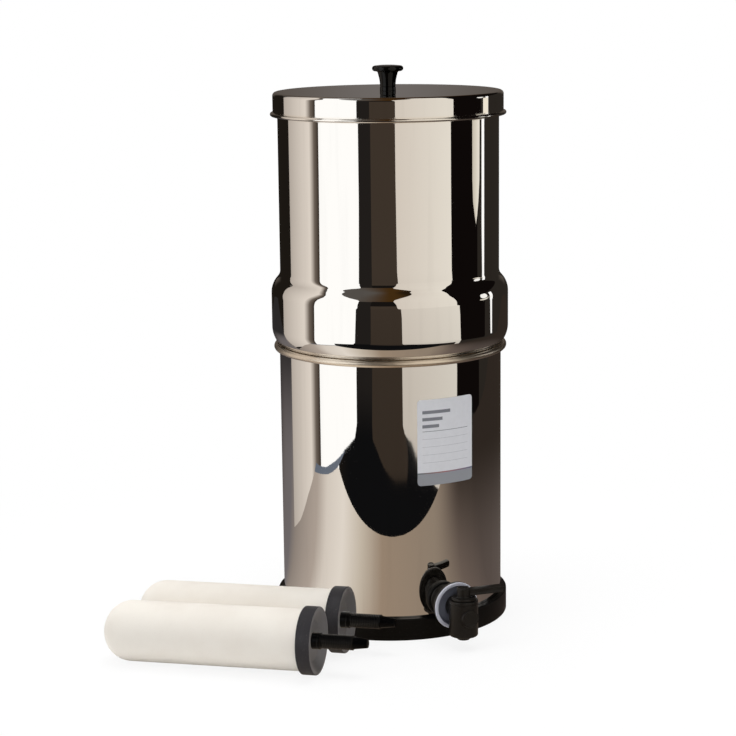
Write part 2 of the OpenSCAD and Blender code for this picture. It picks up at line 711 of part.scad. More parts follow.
module lid_screw_washer() color("#b9b7b4") translate([0, 0, lid_under_z - knob_washer_h])
    tube(knob_screw_r + knob_washer_w, knob_screw_r + hold_gap, knob_washer_h);

// ---- Candle: its axis is Z, its cap's face lies at z = 0, its dome points up and its stem down ----

module candle_shell() color("#f0ebdd") difference() {
    rotate_extrude() polygon(concat(
        [[0, ceramic_z], [candle_r, ceramic_z]],
        arc(candle_tip_r, candle_l - dome_r, dome_r, 0, 90),
        [[0, candle_l]]
    ));
    translate([0, 0, ceramic_z - cut]) cylinder(r = cavity_r, h = cavity_z - ceramic_z + cut);
    translate([0, 0, cavity_z]) sphere(r = cavity_r);
}

module candle_carbon() color("#2b2b2d") {
    translate([0, 0, ceramic_z]) cylinder(r = carbon_r, h = cavity_z - ceramic_z);
    intersection() {
        translate([0, 0, cavity_z]) sphere(r = carbon_r);
        translate([0, 0, cavity_z - carbon_r]) cylinder(r = carbon_r, h = carbon_top_z - cavity_z + carbon_r);
    }
}

module candle_cap() color("#4b4b4e") difference() {
    rotate_extrude() polygon(concat(
        [[0, nose_end], [nose_end_r, nose_end], [stem_r - nose_step, thread_end], [stem_r, thread_end]],
        [[stem_r, -collar_proud], [collar_r, -collar_proud], [collar_r, dish_depth]],
        [[dish_floor_r, dish_depth], [dish_rim_r, 0]],
        arc(cap_r - cap_edge_r, cap_edge_r, cap_edge_r, -90, 0),
        arc(cap_r - cap_edge_r, cap_h - cap_edge_r, cap_edge_r, 0, 90),
        [[cap_in_r, cap_h], [cap_in_r, ceramic_z], [0, ceramic_z]]
    ));
    translate([0, 0, nose_end - cut]) cylinder(r = drain_r, h = ceramic_z - nose_end + 2 * cut);
}

// Stands the children, drawn as a candle, in fitted place number n
module fitted(n) at_hole(fitted_holes[n]) translate([0, 0, candle_z]) children();

module fitted_candle_washer(n) color("#191817") at_hole(fitted_holes[n])
    translate([0, 0, upper_floor_z]) tube(candle_washer_r, collar_r + hold_gap, collar_proud + dish_depth);

module wing_nut(n) color("#201f20") at_hole(fitted_holes[n])
    translate([0, 0, under_floor_z - wing_hub_h]) difference() {
        union() {
            cylinder(r = wing_hub_r, h = wing_hub_h);
            for (side = [0, 180]) rotate([90, 0, side]) linear_extrude(height = wing_t, center = true) {
                translate([wing_end_x, (wing_hub_h - wing_end_r) / 2]) circle(r = wing_end_r);
                translate([wing_root_x, 0]) square([wing_end_x - wing_root_x, wing_hub_h - face_gap]);
            }
        }
        translate([0, 0, -cut]) cylinder(r = stem_r + nut_play, h = wing_hub_h + 2 * cut);
    }

// Lays the children, drawn as a candle, on the table: the cap's face lies out from the chambers'
// axis and back by slip along the stem's direction, and the dome spreads from it
module laid(out, slip, spread) rotate([0, 0, -loose_turn]) translate([-slip, -out, loose_z])
    rotate([0, 0, 180 + spread]) rotate([0, 90 + loose_tilt, 0]) children();

module laid_front() laid(front_out, rear_slip + front_slip, loose_spread) children();
module laid_rear() laid(rear_out, rear_slip, 0) children();

base_ring();
lower_chamber();
label();
tap_body();
tap_cup_washer();
tap_outer_washer();
tap_inner_washer();
tap_back_nut();
tap_plug();
tap_plug_orings();
tap_retaining_ring();
tap_lever();
upper_chamber();
blanking_plugs();
blanking_washers();
blanking_nuts();
lid_shell();
lid_knob();
lid_screw();
lid_screw_washer();
fitted(0) candle_shell();  // fitted_candle_1_shell
fitted(0) candle_carbon();  // fitted_candle_1_carbon
fitted(0) candle_cap();  // fitted_candle_1_cap
fitted_candle_washer(0);  // fitted_candle_1_washer
fitted(1) candle_shell();  // fitted_candle_2_shell
fitted(1) candle_carbon();  // fitted_candle_2_carbon
fitted(1) candle_cap();  // fitted_candle_2_cap
fitted_candle_washer(1);  // fitted_candle_2_washer
wing_nut(0);  // wing_nut_1
wing_nut(1);  // wing_nut_2
laid_front() candle_shell();  // front_candle_shell
laid_front() candle_carbon();  // front_candle_carbon
laid_front() candle_cap();  // front_candle_cap
laid_rear() candle_shell();  // rear_candle_shell
laid_rear() candle_carbon();  // rear_candle_carbon
laid_rear() candle_cap();  // rear_candle_cap
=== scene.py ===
"""Dresses a two-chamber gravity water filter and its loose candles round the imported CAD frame.

Sizes are in millimetres and every mesh is built in metres, in the frame's axes: +Z up along the
chambers' axis and -Y to the front. Directions round the axis are degrees from the front towards +X.
Each sub-assembly is a class that holds its sizes, builds its pieces and dresses them.
"""

from __future__ import annotations

import json
import logging
import math
from abc import ABC, abstractmethod
from collections.abc import Iterable, Sequence
from dataclasses import dataclass, field
from enum import Enum
from typing import Any

import bmesh
import bpy
from mathutils import Matrix, Vector

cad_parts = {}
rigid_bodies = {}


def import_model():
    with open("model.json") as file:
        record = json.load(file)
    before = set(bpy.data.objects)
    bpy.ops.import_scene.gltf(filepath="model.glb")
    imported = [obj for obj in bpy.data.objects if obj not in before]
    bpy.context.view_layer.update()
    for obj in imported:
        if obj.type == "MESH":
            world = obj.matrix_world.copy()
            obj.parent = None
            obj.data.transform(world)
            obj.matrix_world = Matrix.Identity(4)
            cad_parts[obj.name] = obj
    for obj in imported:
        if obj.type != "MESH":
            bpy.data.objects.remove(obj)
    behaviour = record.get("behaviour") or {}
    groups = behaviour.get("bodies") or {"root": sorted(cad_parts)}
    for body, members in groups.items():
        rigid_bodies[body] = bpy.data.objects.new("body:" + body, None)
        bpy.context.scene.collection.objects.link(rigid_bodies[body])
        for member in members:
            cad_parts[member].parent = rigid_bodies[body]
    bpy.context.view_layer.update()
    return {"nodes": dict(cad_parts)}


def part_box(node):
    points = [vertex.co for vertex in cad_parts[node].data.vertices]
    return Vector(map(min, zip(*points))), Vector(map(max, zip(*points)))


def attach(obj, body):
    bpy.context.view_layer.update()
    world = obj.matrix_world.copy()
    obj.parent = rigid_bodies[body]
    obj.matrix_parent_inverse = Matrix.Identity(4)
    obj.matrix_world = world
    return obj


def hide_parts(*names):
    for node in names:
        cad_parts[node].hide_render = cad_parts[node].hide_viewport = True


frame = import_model()

log = logging.getLogger("water_filter")

MM = 0.001

# Faces round a turned piece: of middling width, as wide as the chambers, and small.
SIDES = 128
WIDE_SIDES = 256
NARROW_SIDES = 96

Point = tuple[float, float]
Colour = tuple[float, float, float]


def srgb(red: int, green: int, blue: int) -> Colour:
    """Turns a colour given in 0 to 255 display values into linear light."""
    shares = (red / 255, green / 255, blue / 255)
    return tuple(c / 12.92 if c <= 0.04045 else ((c + 0.055) / 1.055) ** 2.4 for c in shares)


def dimmed(colour: Colour, share: float) -> Colour:
    """A colour at a share of its light."""
    return tuple(share * part for part in colour)


def heading(turn: float) -> Vector:
    """The level direction at an angle in degrees from the front towards +X."""
    return Vector((math.sin(math.radians(turn)), -math.cos(math.radians(turn)), 0.0))


def spin(turn: float, axis: str = "Z") -> Matrix:
    """A turn in degrees about an axis through the origin."""
    return Matrix.Rotation(math.radians(turn), 4, axis)


def at_mm(x: float, y: float, z: float) -> Matrix:
    """A move by millimetres."""
    return Matrix.Translation(Vector((x, y, z)) * MM)


def add_object(name: str, data: bpy.types.ID) -> bpy.types.Object:
    """A new object at the origin that shows a mesh, a lamp or a camera.

    Args:
        name: The object's name.
        data: The mesh, lamp or camera.

    Returns:
        The object.
    """
    thing = bpy.data.objects.new(name, data)
    bpy.context.scene.collection.objects.link(thing)
    return thing


# ---- Nodes as expressions ----


class Value:
    """A node's output that takes part in Python arithmetic; each operation adds a Math node."""

    def __init__(self, nodes: Nodes, socket: bpy.types.NodeSocket) -> None:
        """Keeps the socket and the maker of its tree's nodes."""
        self.nodes = nodes
        self.socket = socket

    def _maths(self, operation: str, *operands: Any) -> Value:
        """Adds one Math node on the operands."""
        return self.nodes.add("ShaderNodeMath", dict(enumerate(operands)), operation=operation)

    def __add__(self, other: Any) -> Value:
        """self + other."""
        return self._maths("ADD", self, other)

    def __radd__(self, other: Any) -> Value:
        """other + self."""
        return self._maths("ADD", other, self)

    def __sub__(self, other: Any) -> Value:
        """self - other."""
        return self._maths("SUBTRACT", self, other)

    def __rsub__(self, other: Any) -> Value:
        """other - self."""
        return self._maths("SUBTRACT", other, self)

    def __mul__(self, other: Any) -> Value:
        """self * other."""
        return self._maths("MULTIPLY", self, other)

    def __rmul__(self, other: Any) -> Value:
        """other * self."""
        return self._maths("MULTIPLY", other, self)

    def __truediv__(self, other: Any) -> Value:
        """self / other, which is 0 where other is 0."""
        return self._maths("DIVIDE", self, other)

    def __abs__(self) -> Value:
        """The size of self without its sign."""
        return self._maths("ABSOLUTE", self)

    def above(self, limit: Any) -> Value:
        """1 where self is greater than limit, else 0."""
        return self._maths("GREATER_THAN", self, limit)

    def below(self, limit: Any) -> Value:
        """1 where self is less than limit, else 0."""
        return self._maths("LESS_THAN", self, limit)

    def apply(self, operation: str, other: Any = 0.0) -> Value:
        """Any other Math operation on self and one more operand."""
        return self._maths(operation, self, other)

    def ramp(self, low: float, high: float, to_low: float = 0.0, to_high: float = 1.0) -> Value:
        """Maps low to high smoothly onto to_low to to_high, and holds the ends beyond them."""
        inputs = {0: self, 1: low, 2: high, 3: to_low, 4: to_high}
        return self.nodes.add("ShaderNodeMapRange", inputs, interpolation_type="SMOOTHSTEP")


class Nodes:
    """Adds nodes to one shader or geometry tree."""

    def __init__(self, tree: bpy.types.NodeTree) -> None:
        """Starts on a tree, which keeps the nodes that it has."""
        self.tree = tree

    def add(self, kind: str, inputs: dict[Any, Any] | None = None, output: Any = 0, **settings: Any) -> Value:
        """Adds a node.

        Args:
            kind: The node's type, such as ShaderNodeMath.
            inputs: A number, colour, vector or Value for each socket, by name or place.
            output: The name or place of the output that is handed back.
            settings: The node's own settings; stops gives a colour ramp's (place, colour) pairs.

        Returns:
            The chosen output.
        """
        node = self.tree.nodes.new(kind)
        stops = settings.pop("stops", None)
        for name, setting in settings.items():
            setattr(node, name, setting)
        if stops:
            self._set_stops(node.color_ramp, stops)
        for key, value in (inputs or {}).items():
            if isinstance(value, Value):
                self.tree.links.new(value.socket, node.inputs[key])
            else:
                node.inputs[key].default_value = value
        return Value(self, node.outputs[output])

    @staticmethod
    def _set_stops(ramp: bpy.types.ColorRamp, stops: Sequence[tuple[float, Colour]]) -> None:
        """Gives a colour ramp its stops.

        Args:
            ramp: The colour ramp, which has two stops.
            stops: Place and colour of each stop, in order.
        """
        for _ in stops[2:]:
            ramp.elements.new(1.0)
        for element, (place, colour) in zip(ramp.elements, stops):
            element.position = place
            element.color = (*colour, 1.0)

    def mix(self, factor: Any, first: Any, second: Any) -> Value:
        """Blends two colours: first where factor is 0, second where it is 1.

        Args:
            factor: Share of the second colour.
            first: A colour or a Value.
            second: A colour or a Value.

        Returns:
            The blend.
        """
        colours = [c if isinstance(c, Value) else (*c, 1.0) for c in (first, second)]
        inputs = {0: factor, 6: colours[0], 7: colours[1]}
        return self.add("ShaderNodeMix", inputs, 2, data_type="RGBA")

    def place(self) -> Value:
        """Where a point lies on its object, in metres."""
        return self.add("ShaderNodeTexCoord", output="Object")

    def stretched(self, scale: Sequence[float]) -> Value:
        """Object coordinates stretched along each axis."""
        return self.add("ShaderNodeMapping", {"Vector": self.place(), "Scale": tuple(scale)})

    def split(self, vector: Value) -> tuple[Value, Value, Value]:
        """The three parts of a vector."""
        parts = self.add("ShaderNodeSeparateXYZ", {0: vector})
        return tuple(Value(self, out) for out in parts.socket.node.outputs)

    def noise(self, scale: float, detail: float = 3.0, vector: Value | None = None) -> Value:
        """Soft noise from 0 to 1 with features of about 1 / scale metres."""
        inputs = {"Vector": vector or self.place(), "Scale": scale, "Detail": detail}
        return self.add("ShaderNodeTexNoise", inputs)

    def bump(self, height: Value, depth: float, strength: float = 1.0) -> Value:
        """A normal that shows height from 0 to 1 as a relief of depth metres."""
        return self.add("ShaderNodeBump", {"Height": height, "Distance": depth, "Strength": strength})

    def show(self, value: Value, kind: str = "ShaderNodeOutputMaterial") -> None:
        """Ends the tree with the node that hands its result out."""
        end = self.tree.nodes.new(kind)
        self.tree.links.new(value.socket, end.inputs[0])


def blank_material(name: str) -> tuple[bpy.types.Material, Nodes]:
    """A material with an empty tree, and the maker of that tree's nodes.

    Args:
        name: The material's name.

    Returns:
        The material and its Nodes.
    """
    made = bpy.data.materials.new(name)
    made.use_nodes = True
    made.node_tree.nodes.clear()
    return made, Nodes(made.node_tree)


# ---- Finishes ----


@dataclass(frozen=True)
class Finish(ABC):
    """The look of one material, which knows the record's slot that it stands for."""

    name: str
    slot: str
    colour: Colour
    roughness: float

    def material(self) -> bpy.types.Material:
        """The finish as a material, which is made once.

        Returns:
            The material.
        """
        known = bpy.data.materials.get(self.name)
        if known:
            return known
        made, nodes = blank_material(self.name)
        inputs = {"Base Color": (*self.colour, 1.0), "Roughness": self.roughness, **self.sockets(nodes)}
        nodes.show(nodes.add("ShaderNodeBsdfPrincipled", inputs))
        return made

    @abstractmethod
    def sockets(self, nodes: Nodes) -> dict[str, Any]:
        """What the finish feeds to the shader's sockets."""


@dataclass(frozen=True)
class PolishedSteel(Finish):
    """Pressed sheet with a mirror polish: faint waves, turned lines, smudges, and duller rolled edges whose
    colour holds a painted warm reflection.
    """

    wave_depth: float = 0.00005
    line_depth: float = 0.0000008
    line_haze: float = 0.008
    smudge: float = 0.03
    smudge_tone: float = 0.93
    rolled: tuple[tuple[float, float], ...] = ((0.2450, 0.32), (0.4507, 0.09))
    rolled_edge: tuple[float, float] = (0.002, 0.0036)
    painted_reflection_tint: Colour = (0.78, 0.67, 0.53)
    painted_reflection_share: float = 2.4

    def sockets(self, nodes: Nodes) -> dict[str, Any]:
        """Waves in the normal, a roughness of turned lines and smudges, and rolled edges that are duller and
        tinted with a painted warm reflection.

        Args:
            nodes: The material's nodes.

        Returns:
            The shader's inputs by name.
        """
        _, _, height = nodes.split(nodes.place())
        rolled = sum(abs(height - level).ramp(*self.rolled_edge, dullness, 0.0)
                     for level, dullness in self.rolled)
        lines = nodes.noise(14.0, 2.0, nodes.stretched((1.0, 1.0, 42.0)))
        smudges = nodes.noise(17.0, 4.0, nodes.stretched((1.0, 1.0, 0.6))).ramp(0.52, 0.74)
        streaks = nodes.noise(110.0, 3.0, nodes.stretched((1.0, 1.0, 0.04))).ramp(0.50, 0.72)
        waves = nodes.noise(9.0, 1.0, nodes.stretched((1.0, 1.0, 0.45)))
        relief = waves + lines * (self.line_depth / self.wave_depth)
        marks = smudges * 0.25 + streaks * 0.45
        clean = nodes.mix(marks, self.colour, dimmed(self.colour, self.smudge_tone))
        return {
            # Painted reflection: the rolled edges are tinted warm to stand for the cream that they mirror.
            "Base Color": nodes.mix(rolled * self.painted_reflection_share, clean, self.painted_reflection_tint),
            "Metallic": 1.0,
            "Roughness": self.roughness + lines * self.line_haze + smudges * self.smudge + rolled,
            "Normal": nodes.bump(relief, self.wave_depth),
        }


@dataclass(frozen=True)
class PlatedSteel(Finish):
    """Bright zinc plating with a slight haze."""

    haze: float = 0.12

    def sockets(self, nodes: Nodes) -> dict[str, Any]:
        """A haze that clouds the roughness."""
        return {"Metallic": 1.0, "Roughness": self.roughness + nodes.noise(300.0) * self.haze}


@dataclass(frozen=True)
class Moulded(Finish):
    """A moulded plastic or rubber with grain, rubbed patches and fine dust."""

    grain_scale: float = 1500.0
    grain_depth: float = 0.00002
    rubbed: Colour = (0.05, 0.05, 0.05)
    rubbed_share: float = 0.25
    rubbed_haze: float = 0.09
    dust: float = 0.0
    dust_tone: Colour = (0.30, 0.28, 0.26)
    gloss: float = 0.25

    def sockets(self, nodes: Nodes) -> dict[str, Any]:
        """Grain in the normal, and rubbed patches and dust in colour and roughness.

        Args:
            nodes: The material's nodes.

        Returns:
            The shader's inputs by name.
        """
        grain = nodes.noise(self.grain_scale, 2.0)
        patches = nodes.noise(45.0, 5.0).ramp(0.45, 0.75)
        specks = nodes.noise(1100.0, 0.0).ramp(0.72, 0.80)
        worn = nodes.mix(patches * self.rubbed_share, self.colour, self.rubbed)
        return {
            "Base Color": nodes.mix(specks * self.dust, worn, self.dust_tone),
            "Roughness": self.roughness + patches * self.rubbed_haze + specks * self.dust,
            "Specular IOR Level": self.gloss,
            "Normal": nodes.bump(grain, self.grain_depth, 0.6),
        }


@dataclass(frozen=True)
class Ceramic(Finish):
    """Unglazed slip-cast ceramic: chalky, with a fine grain and faint clouds."""

    cloud: Colour = (0.80, 0.73, 0.65)
    pit: Colour = (0.62, 0.56, 0.49)
    grain_depth: float = 0.00005

    def sockets(self, nodes: Nodes) -> dict[str, Any]:
        """Clouds and pores in the colour, grain in the normal.

        Args:
            nodes: The material's nodes.

        Returns:
            The shader's inputs by name.
        """
        clouds = nodes.noise(26.0, 5.0).ramp(0.35, 0.80)
        pores = nodes.noise(900.0, 3.0)
        pits = pores.ramp(0.60, 0.72)
        tinted = nodes.mix(clouds * 0.45, self.colour, self.cloud)
        return {
            "Base Color": nodes.mix(pits * 0.12, tinted, self.pit),
            "Roughness": self.roughness - clouds * 0.06,
            "Normal": nodes.bump(pores, self.grain_depth, 0.55),
        }


@dataclass(frozen=True)
class PrintedLabel(Finish):
    """Satin label film with a generic print: rules, write-in lines and a striped foot band."""

    ink: Colour = srgb(96, 98, 108)
    band: Colour = srgb(150, 152, 158)
    band_top: float = 0.135
    stripe: tuple[Colour, ...] = (srgb(30, 70, 74), srgb(150, 62, 58), srgb(44, 52, 112))
    stripe_top: float = 0.150

    def sockets(self, nodes: Nodes) -> dict[str, Any]:
        """The print is drawn on the label's own map: across and up, from 0 to 1.

        Args:
            nodes: The material's nodes.

        Returns:
            The shader's inputs by name.
        """
        across, up, _ = nodes.split(nodes.add("ShaderNodeTexCoord", output="UV"))
        fibre = nodes.noise(260.0, 4.0)
        paper = nodes.mix(fibre.ramp(0.3, 0.7) * 0.5, self.colour, dimmed(self.colour, 0.94))
        printed = paper
        for left, right, low, high, strength in self._bars():
            inside = across.above(left) * across.below(right) * up.above(low) * up.below(high)
            printed = nodes.mix(inside * strength, printed, self.ink)
        banded = nodes.mix(up.below(self.band_top), printed, self.band)
        tints = [(0.0, self.stripe[0]), (0.45, self.stripe[1]), (1.0, self.stripe[2])]
        stripe = nodes.add("ShaderNodeValToRGB", {"Fac": across}, stops=tints)
        in_stripe = up.above(self.band_top) * up.below(self.stripe_top)
        return {
            "Base Color": nodes.mix(in_stripe * 0.85, banded, stripe),
            "Roughness": self.roughness + fibre * 0.08,
            "Normal": nodes.bump(fibre, 0.000012, 0.5),
        }

    @staticmethod
    def _bars() -> Iterable[tuple[float, float, float, float, float]]:
        """Each printed bar's left, right, low and high edge on the map, and its strength.

        Returns:
            The bars, in the order of printing.
        """
        for row, end in enumerate((0.56, 0.42, 0.36)):
            low = 0.835 - 0.082 * row
            yield 0.08, end, low, low + 0.038, 0.85
        yield 0.08, 0.90, 0.628, 0.634, 0.9
        for row in range(4):
            low = 0.540 - 0.092 * row
            yield 0.08, 0.90, low, low + 0.004, 0.45


STEEL = PolishedSteel("polished_steel", "steel", (0.80, 0.785, 0.765), 0.012)
SCREW_STEEL = PlatedSteel("zinc_plated_steel", "screw_steel", (0.72, 0.71, 0.69), 0.22)
KNOB_PLASTIC = Moulded("gloss_black_plastic", "black_plastic", (0.0022, 0.002, 0.0019), 0.08,
                       grain_depth=0.000004, rubbed=(0.006, 0.006, 0.006), gloss=0.2)
BASE_RUBBER = Moulded("base_ring_rubber", "base_rubber", (0.0032, 0.003, 0.0028), 0.30,
                      grain_depth=0.00001, rubbed=(0.007, 0.0065, 0.006), dust=0.04, gloss=0.12)
SEAL_RUBBER = Moulded("washer_rubber", "seal_rubber", (0.008, 0.0075, 0.007), 0.5, dust=0.05,
                      rubbed=(0.014, 0.0135, 0.013), gloss=0.2)
TAP_PLASTIC = Moulded("satin_tap_plastic", "tap_plastic", (0.0072, 0.0060, 0.0050), 0.32,
                      grain_depth=0.000012, rubbed=(0.014, 0.0118, 0.0096), rubbed_share=0.5, gloss=0.3)
CAP_GRAIN = {"grain_scale": 900.0, "grain_depth": 0.00004, "rubbed_share": 0.5, "dust": 0.12}
CAP_PLASTIC = Moulded("candle_cap_plastic", "cap_plastic", (0.027, 0.0252, 0.029), 0.52,
                      rubbed=(0.055, 0.053, 0.058), **CAP_GRAIN)
# Painted light: a lighter copy of the cap plastic for the dished face, standing for the light that it catches
# from the right.
CAP_FACE_PAINTED_LIGHT = Moulded("candle_cap_face_painted_light", "cap_plastic", (0.185, 0.174, 0.172), 0.55,
                   rubbed=(0.225, 0.212, 0.21), **CAP_GRAIN)
STEM_PLASTIC = Moulded("candle_stem_plastic", "cap_plastic", (0.0012, 0.0012, 0.0015), 0.15,
                       grain_depth=0.000004, rubbed=(0.003, 0.003, 0.003), gloss=0.08)
SILICONE = Moulded("white_silicone", "cup_silicone", (0.62, 0.62, 0.69), 0.38,
                   grain_depth=0.000006, rubbed=(0.55, 0.55, 0.61))
# Painted shade: a darker copy of the white silicone for the cup's recess floor.
SILICONE_RECESS_PAINTED_SHADE = Moulded("silicone_recess_painted_shade", "cup_silicone", (0.14, 0.145, 0.18), 0.42,
                         grain_depth=0.000006, rubbed=(0.11, 0.115, 0.14))
# Painted shade: a near-black copy of the silicone for the cup's back, which faces the wall.
SILICONE_BACK_PAINTED_SHADE = Moulded("silicone_back_painted_shade", "cup_silicone", (0.020, 0.018, 0.016), 0.45,
                        grain_depth=0.000006, rubbed=(0.03, 0.028, 0.026))
CERAMIC = Ceramic("unglazed_ceramic", "ceramic", (0.90, 0.85, 0.775), 0.92)
CARBON = Moulded("pressed_carbon", "carbon", (0.02, 0.02, 0.021), 0.8, grain_depth=0.0002)
LABEL_FILM = PrintedLabel("label_film", "label_paper", srgb(226, 226, 230), 0.42)


# ---- Outlines ----


@dataclass(frozen=True)
class Row:
    """One ring of a turned piece: radius and height, and the thread or knurl cut into it."""

    r: float
    z: float
    thread_depth: float = 0.0
    pitch: float = 0.0
    knurl: float = 0.0


def arc(r: float, z: float, radius: float, start: float, end: float, step: float = 6.0) -> list[Point]:
    """Points of a round stretch.

    Args:
        r: Radius of its centre from the piece's axis.
        z: Height of its centre.
        radius: The arc's own radius.
        start: First angle, in degrees from outwards towards up.
        end: Last angle.
        step: Widest angle between two points.

    Returns:
        The points, both ends included.
    """
    count = max(2, math.ceil(abs(end - start) / step))
    turns = [math.radians(start + (end - start) * i / count) for i in range(count + 1)]
    return [(r + radius * math.cos(turn), z + radius * math.sin(turn)) for turn in turns]


def rounded(*corners: tuple[float, float, float], closed: bool = False) -> list[Point]:
    """An outline through corners that each have a rounding.

    Args:
        corners: Radius, height and rounding of each corner; 0 keeps it sharp.
        closed: Whether the last corner joins the first.

    Returns:
        The outline's points; a closed outline repeats its first point.
    """
    points: list[Point] = []
    for i, (r, z, fillet) in enumerate(corners):
        if fillet == 0 or (not closed and i in (0, len(corners) - 1)):
            points.append((r, z))
            continue
        here = Vector((r, z))
        back = (Vector(corners[i - 1][:2]) - here).normalized()
        ahead = (Vector(corners[(i + 1) % len(corners)][:2]) - here).normalized()
        half = back.angle(ahead) / 2
        centre = here + (back + ahead).normalized() * (fillet / math.sin(half))
        start, end = (here + side * (fillet / math.tan(half)) - centre for side in (back, ahead))
        first = math.degrees(math.atan2(start.y, start.x))
        swing = (math.degrees(math.atan2(end.y, end.x)) - first + 180) % 360 - 180
        points += arc(centre.x, centre.y, fillet, first, first + swing, 18.0)
    return points + points[:1] if closed else points


def ring(inner: float, outer: float, low: float, high: float, inner_edge: float,
         outer_edge: float) -> list[Point]:
    """The closed outline of a flat ring, with a rounding for its inner and its outer edges."""
    return rounded((inner, low, inner_edge), (outer, low, outer_edge), (outer, high, outer_edge),
                   (inner, high, inner_edge), closed=True)


def supported(points: Sequence[Point], longest: float = 3.0, inset: float = 0.35) -> list[Row]:
    """Rows for an outline, with a support row near each end of its long straight stretches.

    Args:
        points: The outline's points.
        longest: Longest stretch that needs no support.
        inset: Distance of a support row from its end of the stretch.

    Returns:
        The rows.
    """
    rows = [Row(*points[0])]
    for (r1, z1), (r2, z2) in zip(points, points[1:]):
        length = math.hypot(r2 - r1, z2 - z1)
        if length > longest:
            for share in (inset / length, 1 - inset / length):
                rows.append(Row(r1 + (r2 - r1) * share, z1 + (z2 - z1) * share))
        rows.append(Row(r2, z2))
    return rows


def threaded(r: float, z1: float, z2: float, depth: float, pitch: float, steps: int = 10) -> list[Row]:
    """Rows of a threaded stretch from z1 to z2, whose groove runs out over one turn at each end.

    Args:
        r: Radius of the crests.
        z1: Height where the thread starts.
        z2: Height where it ends.
        depth: Depth of the groove.
        pitch: Rise of one turn.
        steps: Rows in each turn.

    Returns:
        The rows.
    """
    count = math.ceil(abs(z2 - z1) / pitch * steps)
    rows = []
    for i in range(count + 1):
        z = z1 + (z2 - z1) * i / count
        run_out = min(1.0, abs(z - z1) / pitch, abs(z2 - z) / pitch)
        rows.append(Row(r, z, depth * run_out, pitch))
    return rows


def knurled(r: float, z1: float, z2: float, depth: float) -> list[Row]:
    """Rows of a grip from z1 to z2 whose flutes are depth deep."""
    fade = (z2 - z1) * 0.12
    return [Row(r, z1), Row(r, z1 + fade, knurl=depth), Row(r, z2 - fade, knurl=depth), Row(r, z2)]


# ---- Mesh making ----


class Side(Enum):
    """Which solid a carving keeps."""

    UNION = "UNION"
    DIFFERENCE = "DIFFERENCE"
    INTERSECT = "INTERSECT"


